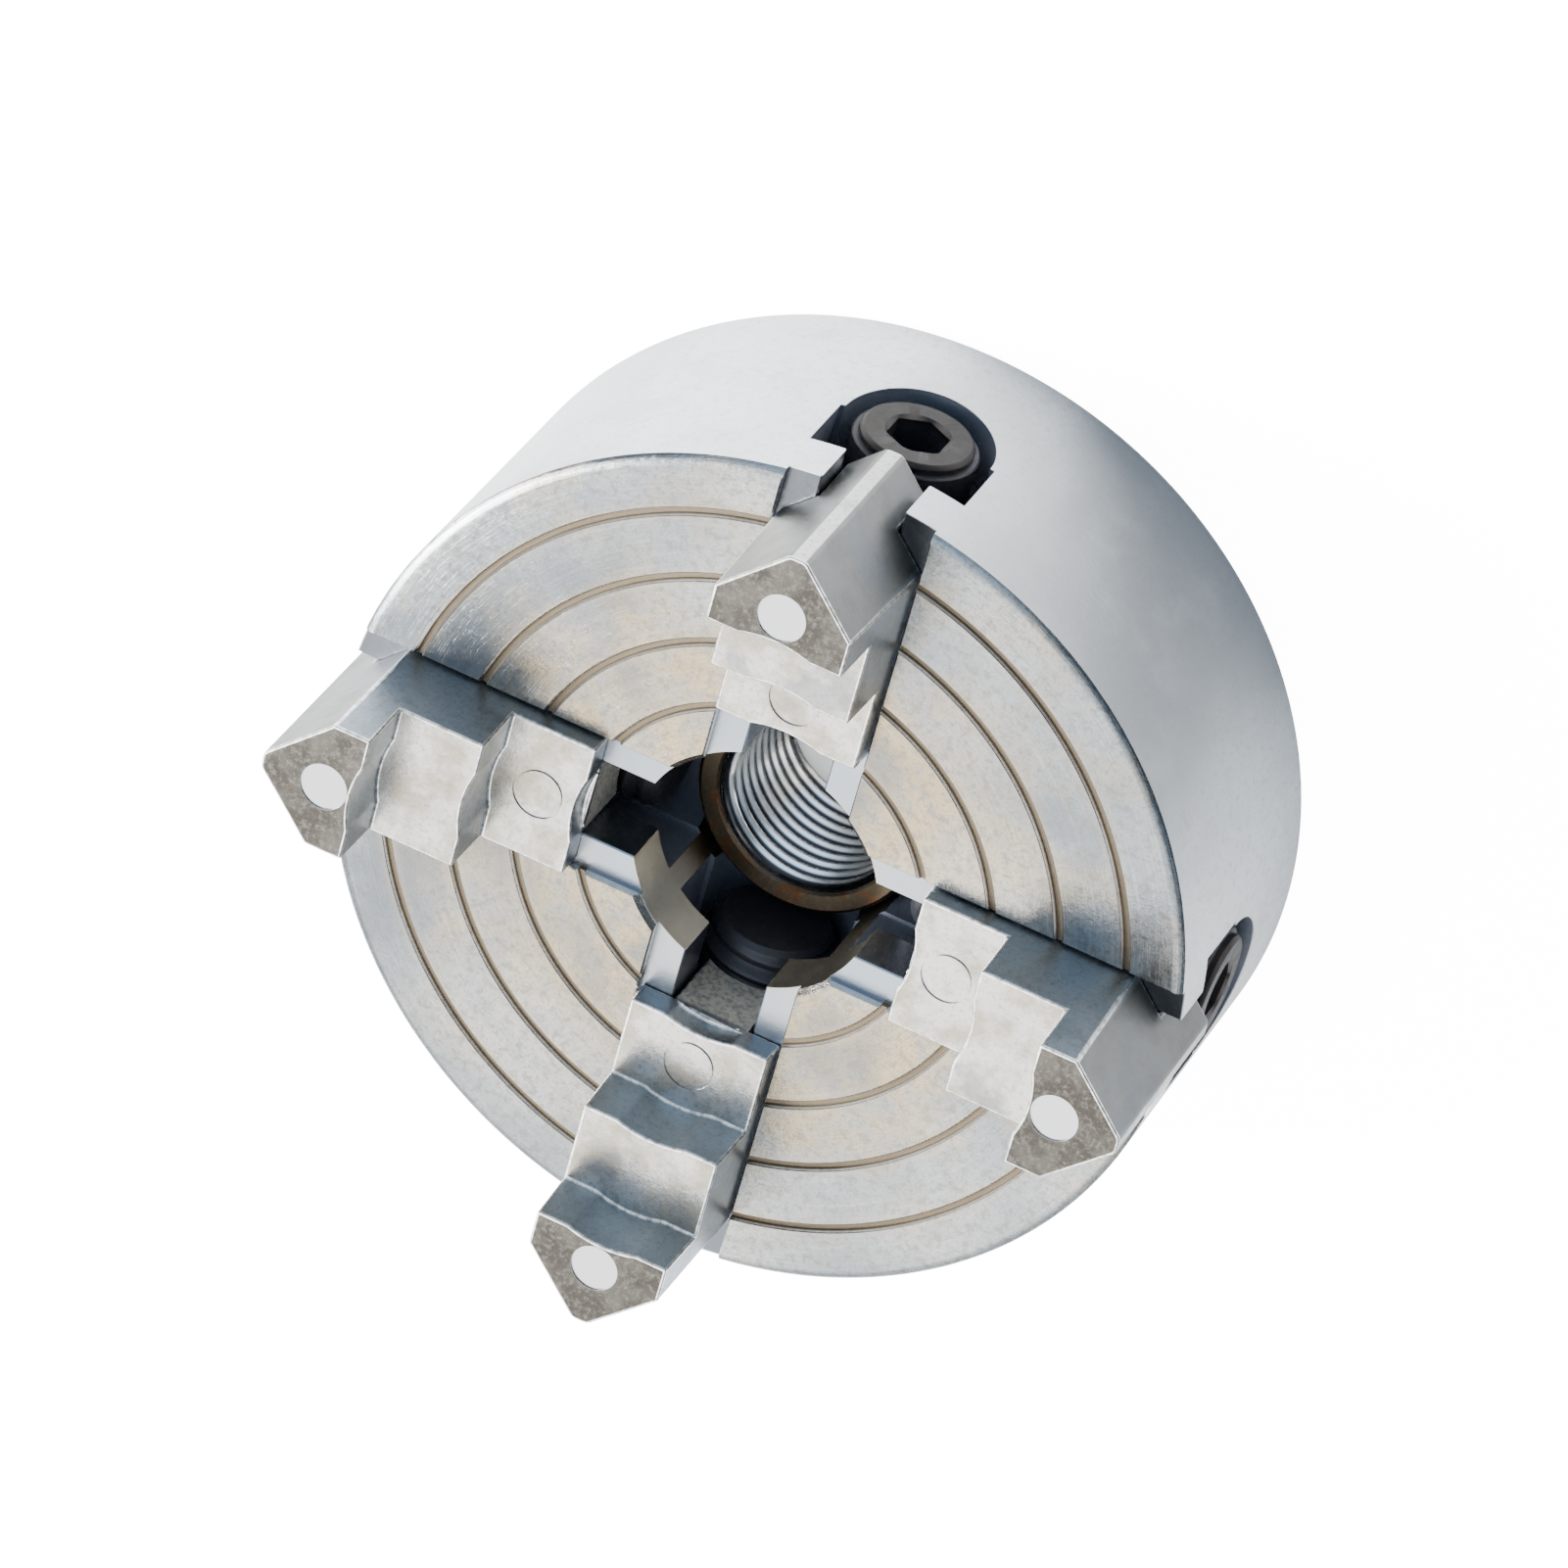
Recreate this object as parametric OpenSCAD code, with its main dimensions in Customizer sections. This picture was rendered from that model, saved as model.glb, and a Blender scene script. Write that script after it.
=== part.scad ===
// Four-jaw independent lathe chuck, small cast type, on a threaded spindle hub.
// Z = 0 is the back face; the chuck axis is Z and the jaws stand on the +Z side.
// Jaws 1 to 4 lie on +X, +Y, -X and -Y, each moved by its own radial screw.

/* [Body] */
// Diameter of the chuck body
body_d = 65; // [54:0.5:80]
// Metal left between a screw tunnel and the recess for the back plate
web_t = 3.5; // [2.9:0.1:8]
// Radial width of the chamfer round the front rim
rim_chamfer = 0.8; // [0.3:0.1:1.5]
// Height of that chamfer
rim_chamfer_h = 0.45; // [0.2:0.05:1]
// Chamfer round the back rim
back_chamfer = 0.5; // [0.2:0.1:1]
// Gap between the central bore of the body and the hub behind it
bore_gap = 0.6; // [0.2:0.1:1.2]
// Chamfer at the mouth of the central bore
bore_chamfer = 0.4; // [0.2:0.1:0.8]

/* [Face grooves] */
// Radius of the innermost groove turned in the face
groove_first_r = 13.25; // [12:0.25:16]
// Radial step from one groove to the next
groove_pitch = 5; // [3:0.5:8]
// Width of a groove
groove_w = 0.55; // [0.3:0.05:1]
// Depth of a groove
groove_depth = 0.35; // [0.2:0.05:0.6]
// Plain band kept outside the last groove
groove_margin = 3.5; // [2:0.5:8]

/* [Jaw slots] */
// Depth of the shallow channel in which a jaw rides
channel_depth = 0.9; // [0.5:0.1:1.5]
// Thickness of the rails that hold a jaw down
rail_t = 4.4; // [3:0.1:6]
// Gap between a jaw and each side of its channel
channel_gap = 0.15; // [0.08:0.01:0.3]
// Gap between a jaw neck and each rail
neck_gap = 0.2; // [0.08:0.01:0.3]
// Gap between a jaw and a rail, above it and below it
rail_gap = 0.08; // [0.05:0.01:0.15]

/* [Jaws] */
// Width of a jaw at its foot
jaw_w = 11; // [9.6:0.1:12]
// Amount by which each side of a jaw leans in towards its top
jaw_draft = 0.35; // [0:0.05:0.5]
// Distance from the chuck axis to a jaw's inner face
jaw_open_r = 12.8; // [12.5:0.1:16]
// Length of each of the two lower treads
tread_l = 6.55; // [5:0.05:8]
// Length of the straight sides of the top block
top_l = 2.5; // [1.5:0.1:4]
// Height of the lowest tread above the face of the body
first_rise = 1.5; // [1:0.1:3]
// Height of each of the two upper steps
step_rise = 5; // [3.5:0.1:7]
// Radius that rounds the outer point of a jaw
tip_r = 1.5; // [0.8:0.1:2.5]
// Width of the hollow down the middle of each gripping face
grip_hollow_w = 5.4; // [4:0.1:7]
// Depth of that hollow
grip_hollow_depth = 0.45; // [0.2:0.05:0.7]
// Diameter of the round moulding marks on a jaw
mark_d = 3.6; // [3:0.1:4.5]
// Width of the line round the mark on the lowest tread
mark_line = 0.15; // [0.1:0.05:0.3]
// Depth of the moulding marks
mark_depth = 0.12; // [0.08:0.02:0.2]
// Width of a jaw's neck between the rails
neck_w = 6; // [5:0.1:7]
// Thickness of the flange that a jaw carries under the rails
flange_t = 3; // [2.4:0.1:3.2]
// Distance from a jaw's inner face to the start of its flange
flange_start = 1.7; // [1:0.1:4]
// Length of the flange
flange_l = 11.5; // [8:0.1:13]

/* [Jaw screws] */
// Mean diameter of the screw thread
screw_d = 9.4; // [8:0.1:11.5]
// Gap between the screw thread and the half nut in a jaw
nut_gap = 0.2; // [0.1:0.05:0.3]
// Metal over the half nut below the level of the rails
nut_wall = 0.8; // [0.6:0.1:1.6]
// Gap round a screw in its tunnel
tunnel_gap = 0.9; // [0.4:0.1:1.2]
// Extra width of the slot below the rails, on each side
cavity_side = 0.35; // [0.2:0.05:0.8]
// Gap between a jaw flange and each side of that slot
flange_gap = 0.35; // [0.15:0.05:0.4]
// Distance from the outside of the hub to a screw's inner end
screw_start = 1.3; // [0.9:0.1:2.3]
// Amount by which a screw's head is smaller than its thread, all round
head_step = 0.1; // [0:0.05:0.5]
// Width of the shoulder between the head and the nose on its front
nose_step = 0.45; // [0.2:0.05:0.8]
// Length of the nose
nose_l = 0.7; // [0.4:0.1:1.2]
// Chamfer round the nose
nose_chamfer = 0.3; // [0.1:0.05:0.5]
// Length of the head
head_l = 4.4; // [4:0.1:6]
// Depth of the head below the rim of the body
head_sink = 0.2; // [0.1:0.1:1.5]
// Width across flats of the key socket
socket_af = 4; // [3:0.1:4.5]
// Depth of the key socket
socket_depth = 3.6; // [3:0.1:3.8]
// Chamfer at the inner end of a screw
screw_chamfer = 0.5; // [0.2:0.1:0.8]

/* [Screw forks] */
// Depth of the groove that holds a screw in its fork
fork_bite = 1.8; // [1.2:0.1:2]
// Thickness of a fork
fork_t = 2.4; // [1.8:0.1:3]
// Width by which each side of a fork goes past the slot
fork_side = 1.55; // [0.8:0.05:2]
// Running gap between a fork and a screw
fork_run_gap = 0.05; // [0.02:0.01:0.1]
// Fitting gap between a fork and its pocket
fork_fit_gap = 0.05; // [0.02:0.01:0.1]
// Gap between the top of a fork and the jaw flange above it
fork_clear = 0.82; // [0.3:0.02:1.6]

/* [Back plate] */
// Thickness of the back plate
plate_t = 4.5; // [4:0.1:6]
// Width of the body rim left round the back plate
plate_rim = 3.45; // [3:0.05:3.5]
// Fitting gap round the back plate
plate_gap = 0.05; // [0.02:0.01:0.1]
// Distance from the plate's edge to its fixing screws
fixing_edge = 7; // [5.5:0.1:8]
// Shank diameter of a fixing screw
fixing_d = 4; // [3:0.1:4.5]
// Head diameter of a fixing screw
fixing_head_d = 7.6; // [6:0.1:8.4]
// Length of a fixing screw
fixing_l = 12; // [10:0.5:14]
// Width across flats of a fixing screw's key socket
fixing_af = 2.5; // [2:0.1:3]
// Depth of a fixing screw's key socket
fixing_socket = 1.9; // [1.4:0.1:2.2]
// Plain edge of a fixing screw's head above its cone
fixing_land = 0.3; // [0.2:0.1:0.6]
// Gap between a fixing screw and its holes
fixing_gap = 0.05; // [0.02:0.01:0.1]

/* [Spindle hub] */
// Bore of the hub, at the crests of the spindle thread
thread_bore_d = 12.65; // [10:0.01:15.5]
// Wall of the hub round the crests of its thread
hub_wall = 2.375; // [1.6:0.025:2.6]
// Distance from the face of the body to the front of the hub
hub_depth = 11.1; // [10:0.1:13]
// Width of the hub's flange
hub_flange_w = 3.3; // [1.5:0.1:4]
// Thickness of the hub's flange
hub_flange_t = 2; // [1.5:0.1:2.4]
// Fitting gap round the hub
hub_gap = 0.05; // [0.02:0.01:0.1]
// Chamfer at both ends of the spindle thread
hub_chamfer = 0.55; // [0.3:0.05:0.8]
// Chamfer round the outside of the hub's front
hub_edge = 0.3; // [0.1:0.1:0.6]
// Diameter of the pins that lock the hub to the back plate
hub_pin_d = 1.8; // [1.4:0.1:2]
// Depth of those pins below the front of the back plate
hub_pin_sink = 0.7; // [0.3:0.1:1.5]

/* [Hidden] */
$fn = 96;
JAWS = [1:4];
CUT = 1;

screw_r = screw_d / 2;
nut_r = screw_r + nut_gap;
tunnel_r = screw_r + tunnel_gap;
cavity_hw = tunnel_r + cavity_side;
rail_depth = channel_depth + rail_t;
axis_depth = rail_depth + nut_wall + nut_r;

body_r = body_d / 2;
body_h = axis_depth + tunnel_r + web_t + plate_t;
screw_z = body_h - axis_depth;
groove_count = 1 + floor((body_r - groove_margin - groove_first_r) / groove_pitch);

plate_r = body_r - plate_rim;
fixing_r = plate_r - fixing_edge;
fixing_hole_r = fixing_d / 2 + fixing_gap;
fixing_cone = (fixing_head_d - fixing_d) / 2;

thread_r = thread_bore_d / 2;
hub_r = thread_r + hub_wall;
hub_top = body_h - hub_depth;
hub_flange_r = hub_r + hub_flange_w;
hub_pin_l = plate_t - hub_pin_sink;
bore_r = hub_r + bore_gap;

screw_start_r = hub_r + screw_start;
head_r = screw_r - head_step;
nose_r = head_r - nose_step;
groove_r = screw_r - fork_bite;
head_end_r = body_r - head_sink;
fork_out_r = head_end_r - head_l;
fork_in_r = fork_out_r - fork_t;
fork_hw = cavity_hw + fork_side;

jaw_hw = jaw_w / 2;
channel_hw = jaw_hw + channel_gap;
neck_hw = neck_w / 2;
slot_hw = neck_hw + neck_gap;
flange_hw = cavity_hw - flange_gap;
jaw_foot = body_h - channel_depth + rail_gap;
flange_top = body_h - rail_depth - rail_gap;
flange_low = flange_top - flange_t;
fork_top = flange_low - fork_clear;
jaw_top = body_h + first_rise + 2 * step_rise;
jaw_shoulder = jaw_open_r + 2 * tread_l + top_l;
jaw_tip = jaw_shoulder + jaw_hw;
hollow_r = (pow(grip_hollow_w / 2, 2) + pow(grip_hollow_depth, 2)) / (2 * grip_hollow_depth);

PARTS = ["jaw_", "jaw_screw_", "screw_fork_", "plate_screw_"];

// Turns a piece drawn on +X to the place of jaw i.
module at_jaw(i) {
    rotate([0, 0, 90 * (i - 1)]) children();
}

// A cylinder lying along X at the height of the screw axis.
module radial_rod(r, from, to) {
    translate([from, 0, screw_z]) rotate([0, 90, 0]) cylinder(r = r, h = to - from);
}

// A block along X from one radius to another, hw to each side of the centre line.
module radial_block(hw, from, to, low, high) {
    translate([from, -hw, low]) cube([to - from, 2 * hw, high - low]);
}

// Everything that one jaw, its screw and its fork need cut out of the body.
module jaw_slot() {
    far = body_r + CUT;
    radial_block(channel_hw, 0, far, body_h - channel_depth, body_h + CUT);
    radial_block(slot_hw, 0, far, body_h - rail_depth - CUT, body_h);
    radial_block(cavity_hw, 0, far, screw_z, body_h - rail_depth);
    radial_rod(tunnel_r, 0, far);
    radial_block(
        fork_hw + fork_fit_gap, fork_in_r - fork_fit_gap, fork_out_r + fork_fit_gap,
        plate_t - CUT, fork_top + fork_fit_gap
    );
}

// Outline of the turned body, with a chamfer at the front rim and at the back.
module body_outline() {
    polygon([
        [0, 0], [body_r - back_chamfer, 0], [body_r, back_chamfer],
        [body_r, body_h - rim_chamfer_h], [body_r - rim_chamfer, body_h], [0, body_h]
    ]);
}

// Cast body: grooved face, four T slots, central bore and a recess for the back plate.
module body() {
    color("#c9c8c4") difference() {
        rotate_extrude() body_outline();
        for (i = JAWS) at_jaw(i) jaw_slot();
        translate([0, 0, -CUT]) cylinder(r = plate_r + plate_gap, h = plate_t + CUT);
        cylinder(r = hub_flange_r + hub_gap, h = plate_t + hub_flange_t + hub_gap);
        cylinder(r = bore_r, h = body_h + CUT);
        rotate_extrude() polygon([
            [0, body_h - bore_chamfer], [bore_r, body_h - bore_chamfer],
            [bore_r + bore_chamfer, body_h], [0, body_h]
        ]);
        rotate_extrude() for (k = [0:groove_count - 1])
            translate([groove_first_r + k * groove_pitch - groove_w / 2, body_h - groove_depth])
                square([groove_w, groove_depth + CUT]);
        for (i = JAWS) at_fixing(i)
            cylinder(r = fixing_hole_r, h = fixing_l + CUT);
    }
}

// The place of fixing screw i, half way between two jaws.
module at_fixing(i) {
    rotate([0, 0, 90 * i - 45]) translate([fixing_r, 0, 0]) children();
}

// Space of a pin that sits half in the hub and half in the back plate.
module at_hub_pin(i) {
    rotate([0, 0, 180 * i - 135]) translate([hub_r, 0, 0]) children();
}

// Steel plate that closes the back, holds the forks up and carries the hub.
module back_plate() {
    color("#2b2b2e") difference() {
        cylinder(r = plate_r, h = plate_t);
        translate([0, 0, -CUT]) cylinder(r = hub_r + hub_gap, h = plate_t + 2 * CUT);
        for (i = JAWS) at_fixing(i) {
            translate([0, 0, -CUT]) cylinder(r = fixing_hole_r, h = plate_t + 2 * CUT);
            rotate_extrude() polygon(screw_cone(fixing_gap));
        }
        for (i = [1:2]) at_hub_pin(i)
            translate([0, 0, -CUT]) cylinder(d = hub_pin_d, h = hub_pin_l + CUT);
    }
}

// Half section of a countersunk head, grown outwards by a gap.
function screw_cone(gap) = [
    [0, -CUT * (gap > 0 ? 1 : 0)],
    [fixing_head_d / 2 + gap, -CUT * (gap > 0 ? 1 : 0)],
    [fixing_head_d / 2 + gap, fixing_land],
    [fixing_d / 2 + gap, fixing_land + fixing_cone],
    [0, fixing_land + fixing_cone]
];

// Countersunk socket screw that fixes the back plate to the body.
module plate_screw(i) {
    color("#3a3a3d") at_fixing(i) difference() {
        union() {
            cylinder(d = fixing_d, h = fixing_l);
            rotate_extrude() polygon(screw_cone(0));
        }
        translate([0, 0, -CUT])
            cylinder(d = fixing_af / cos(30), h = fixing_socket + CUT, $fn = 6);
    }
}

// Flanged steel hub with the spindle thread, drawn in from the front of the back plate.
module spindle_hub() {
    color("#8d8577") difference() {
        rotate_extrude() polygon([
            [thread_r + hub_chamfer, 0], [hub_r, 0], [hub_r, plate_t], [hub_flange_r, plate_t],
            [hub_flange_r, plate_t + hub_flange_t], [hub_r, plate_t + hub_flange_t],
            [hub_r, hub_top - hub_edge], [hub_r - hub_edge, hub_top],
            [thread_r + hub_chamfer, hub_top],
            [thread_r, hub_top - hub_chamfer], [thread_r, hub_chamfer]
        ]);
        for (i = [1:2]) at_hub_pin(i)
            translate([0, 0, -CUT]) cylinder(d = hub_pin_d, h = hub_pin_l + CUT);
    }
}

// Pin that stops the hub turning in the back plate.
module hub_pin(i) {
    color("#9a9a9a") at_hub_pin(i) cylinder(d = hub_pin_d, h = hub_pin_l);
}

// Plan of a jaw: straight sides and a square point with a rounded tip.
module jaw_plan(hw) {
    back = tip_r * sqrt(2);
    cut = tip_r / sqrt(2);
    tip = jaw_shoulder + jaw_hw;
    half = min(hw, jaw_hw);
    polygon([
        [jaw_open_r, -half], [tip - half, -half], [tip - back + cut, -cut],
        [tip - back + cut, cut], [tip - half, half], [jaw_open_r, half]
    ]);
    translate([tip - back, 0]) circle(r = tip_r);
}

// Side view of the stepped block, X along the jaw and Y up.
module jaw_steps() {
    low = body_h + first_rise;
    polygon([
        [jaw_open_r, jaw_foot], [jaw_tip, jaw_foot], [jaw_tip, jaw_top],
        [jaw_open_r + 2 * tread_l, jaw_top],
        [jaw_open_r + 2 * tread_l, low + step_rise],
        [jaw_open_r + tread_l, low + step_rise],
        [jaw_open_r + tread_l, low], [jaw_open_r, low]
    ]);
}

// Block above the rails: plan, steps and the slight lean of the sides together.
module jaw_block() {
    span = jaw_tip + CUT;
    intersection() {
        translate([0, 0, jaw_foot]) linear_extrude(jaw_top - jaw_foot) jaw_plan(jaw_hw);
        rotate([90, 0, 0]) translate([0, 0, -jaw_hw - CUT])
            linear_extrude(2 * (jaw_hw + CUT)) jaw_steps();
        rotate([90, 0, 90]) linear_extrude(span) polygon([
            [-jaw_hw, jaw_foot], [jaw_hw, jaw_foot],
            [jaw_hw - jaw_draft, jaw_top], [-jaw_hw + jaw_draft, jaw_top]
        ]);
    }
}

// Neck between the rails, flange below them and the half nut cut through both.
module jaw_foot_part() {
    neck_low = body_h - rail_depth - nut_wall;
    flange_in = jaw_open_r + flange_start;
    flange_out = flange_in + flange_l;
    difference() {
        union() {
            translate([0, 0, neck_low]) linear_extrude(jaw_foot - neck_low) intersection() {
                jaw_plan(jaw_hw);
                translate([0, -neck_hw]) square([jaw_tip + CUT, neck_w]);
            }
            radial_block(neck_hw, jaw_open_r, flange_out, flange_low, jaw_foot);
            radial_block(flange_hw, flange_in, flange_out, flange_low, flange_top);
        }
        radial_rod(nut_r, jaw_open_r - CUT, jaw_tip + CUT);
    }
}

// Cast stepped jaw with hollowed gripping faces and two round moulding marks.
module jaw(i) {
    color("#d2d1cd") at_jaw(i) difference() {
        union() {
            jaw_block();
            jaw_foot_part();
        }
        for (k = [0:2]) {
            low = k == 0 ? jaw_foot - CUT : body_h + first_rise + (k - 1) * step_rise;
            translate([jaw_open_r + k * tread_l + grip_hollow_depth - hollow_r, 0, low])
                cylinder(r = hollow_r, h = k == 0 ? body_h + first_rise + CUT - low : step_rise + CUT);
        }
        translate([jaw_shoulder, 0, jaw_top - mark_depth]) cylinder(d = mark_d, h = CUT);
        translate([jaw_open_r + tread_l / 2, 0, body_h + first_rise - mark_depth])
            difference() {
                cylinder(d = mark_d + 2 * mark_line, h = CUT);
                cylinder(d = mark_d, h = CUT);
            }
    }
}

// Half section of a jaw screw, X along the screw and Y from its axis.
module screw_outline() {
    polygon([
        [screw_start_r, 0], [screw_start_r, screw_r - screw_chamfer],
        [screw_start_r + screw_chamfer, screw_r], [fork_in_r - fork_run_gap, screw_r],
        [fork_in_r - fork_run_gap, groove_r], [fork_out_r + fork_run_gap, groove_r],
        [fork_out_r + fork_run_gap, head_r], [head_end_r - nose_l, head_r],
        [head_end_r - nose_l, nose_r], [head_end_r - nose_chamfer, nose_r],
        [head_end_r, nose_r - nose_chamfer], [head_end_r, 0]
    ]);
}

// Jaw screw: threaded length, neck for its fork and a head with a key socket.
module jaw_screw(i) {
    color("#36332f") at_jaw(i) translate([0, 0, screw_z]) rotate([0, 90, 0]) difference() {
        rotate_extrude() mirror([1, 0]) rotate([0, 0, 90]) screw_outline();
        translate([0, 0, head_end_r - socket_depth])
            cylinder(d = socket_af / cos(30), h = socket_depth + CUT, $fn = 6);
    }
}

// U-shaped plate slid in from the back; it keeps a screw from moving along its axis.
module screw_fork(i) {
    notch_r = groove_r + fork_run_gap;
    color("#4a4a4d") at_jaw(i) difference() {
        radial_block(fork_hw, fork_in_r, fork_out_r, plate_t, fork_top);
        radial_rod(notch_r, fork_in_r - CUT, fork_out_r + CUT);
        radial_block(notch_r, fork_in_r - CUT, fork_out_r + CUT, screw_z, fork_top + CUT);
    }
}

body();
back_plate();
spindle_hub();
for (i = [1:2]) {
    hub_pin(i);
}
for (i = JAWS) {
    jaw(i);
    jaw_screw(i);
    screw_fork(i);
    plate_screw(i);
}
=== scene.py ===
"""Looks of a small lathe chuck with four independent jaws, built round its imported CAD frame.

Lengths are in metres and written as multiples of MM. The chuck axis is Z, its back face is at Z = 0
and its jaws stand on the +Z side, jaw 1 on +X, then +Y, -X and -Y.
"""

import logging
import math
from collections.abc import Sequence
from dataclasses import dataclass, field
from enum import Enum

import bmesh
import bpy
from mathutils import Matrix, Vector


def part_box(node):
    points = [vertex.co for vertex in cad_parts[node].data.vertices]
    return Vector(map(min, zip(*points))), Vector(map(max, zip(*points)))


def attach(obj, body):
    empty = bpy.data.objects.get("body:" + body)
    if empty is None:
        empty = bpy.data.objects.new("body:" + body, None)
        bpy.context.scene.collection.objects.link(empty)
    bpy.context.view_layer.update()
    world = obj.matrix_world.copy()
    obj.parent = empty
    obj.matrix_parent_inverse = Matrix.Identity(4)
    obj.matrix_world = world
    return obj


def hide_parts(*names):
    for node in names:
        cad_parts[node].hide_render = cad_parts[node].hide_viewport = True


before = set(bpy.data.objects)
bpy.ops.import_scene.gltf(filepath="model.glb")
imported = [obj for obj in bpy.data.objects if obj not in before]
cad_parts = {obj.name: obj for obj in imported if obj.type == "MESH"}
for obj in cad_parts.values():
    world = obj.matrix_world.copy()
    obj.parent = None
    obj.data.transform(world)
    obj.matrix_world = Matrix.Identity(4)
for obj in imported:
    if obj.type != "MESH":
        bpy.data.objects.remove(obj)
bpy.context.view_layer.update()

MM = 0.001
LOG = logging.getLogger("lathe_chuck")
PAST = 1.0 * MM  # how far a cutter goes past what it cuts
SCREW_PITCH = 1.5 * MM
FLANGE_THICKNESS = 2.0 * MM

Colour = tuple[float, float, float, float]
Point2 = tuple[float, float]

GROUND_STEEL: Colour = (0.34, 0.34, 0.33, 1.0)
FIXING_BLACK: Colour = (0.03, 0.03, 0.033, 1.0)


# ---------------------------------------------------------------------------------------------
# Node trees
# ---------------------------------------------------------------------------------------------


class Signal:
    """A socket of a node tree that takes part in Python arithmetic.

    Each operator adds one Math node to the socket's own tree.
    """

    def __init__(self, graph: "Graph", socket: bpy.types.NodeSocket) -> None:
        """Wraps a socket.

        Args:
            graph: the tree that the socket belongs to.
            socket: an output socket.
        """
        self.graph = graph
        self.socket = socket

    def __add__(self, other: "Signal | float") -> "Signal":
        """This value plus another."""
        return self.graph.maths("ADD", self, other)

    def __radd__(self, other: float) -> "Signal":
        """A number plus this value."""
        return self.graph.maths("ADD", other, self)

    def __sub__(self, other: "Signal | float") -> "Signal":
        """This value minus another."""
        return self.graph.maths("SUBTRACT", self, other)

    def __rsub__(self, other: float) -> "Signal":
        """A number minus this value."""
        return self.graph.maths("SUBTRACT", other, self)

    def __mul__(self, other: "Signal | float") -> "Signal":
        """This value times another."""
        return self.graph.maths("MULTIPLY", self, other)

    def __rmul__(self, other: float) -> "Signal":
        """A number times this value."""
        return self.graph.maths("MULTIPLY", other, self)

    def __truediv__(self, other: "Signal | float") -> "Signal":
        """This value over another."""
        return self.graph.maths("DIVIDE", self, other)

    def __rtruediv__(self, other: float) -> "Signal":
        """A number over this value."""
        return self.graph.maths("DIVIDE", other, self)

    def __mod__(self, other: "Signal | float") -> "Signal":
        """What is left of this value over another, never negative."""
        return self.graph.maths("FLOORED_MODULO", self, other)

    def __abs__(self) -> "Signal":
        """This value without its sign."""
        return self.graph.maths("ABSOLUTE", self)

    def least(self, other: "Signal | float") -> "Signal":
        """The smaller of this value and another."""
        return self.graph.maths("MINIMUM", self, other)

    def most(self, other: "Signal | float") -> "Signal":
        """The larger of this value and another."""
        return self.graph.maths("MAXIMUM", self, other)

    def rise(self, low: float, high: float) -> "Signal":
        """A smooth step from 0 at low to 1 at high.

        Args:
            low: the value at and below which the step is 0.
            high: the value at and above which the step is 1.

        Returns:
            The step.
        """
        settings = {"interpolation_type": "SMOOTHSTEP"}
        inputs = {0: self, 1: low, 2: high, 3: 0.0, 4: 1.0}
        return self.graph.signal("ShaderNodeMapRange", settings, inputs)

    def fall(self, low: float, high: float) -> "Signal":
        """A smooth step from 1 at low down to 0 at high."""
        return 1.0 - self.rise(low, high)


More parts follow.
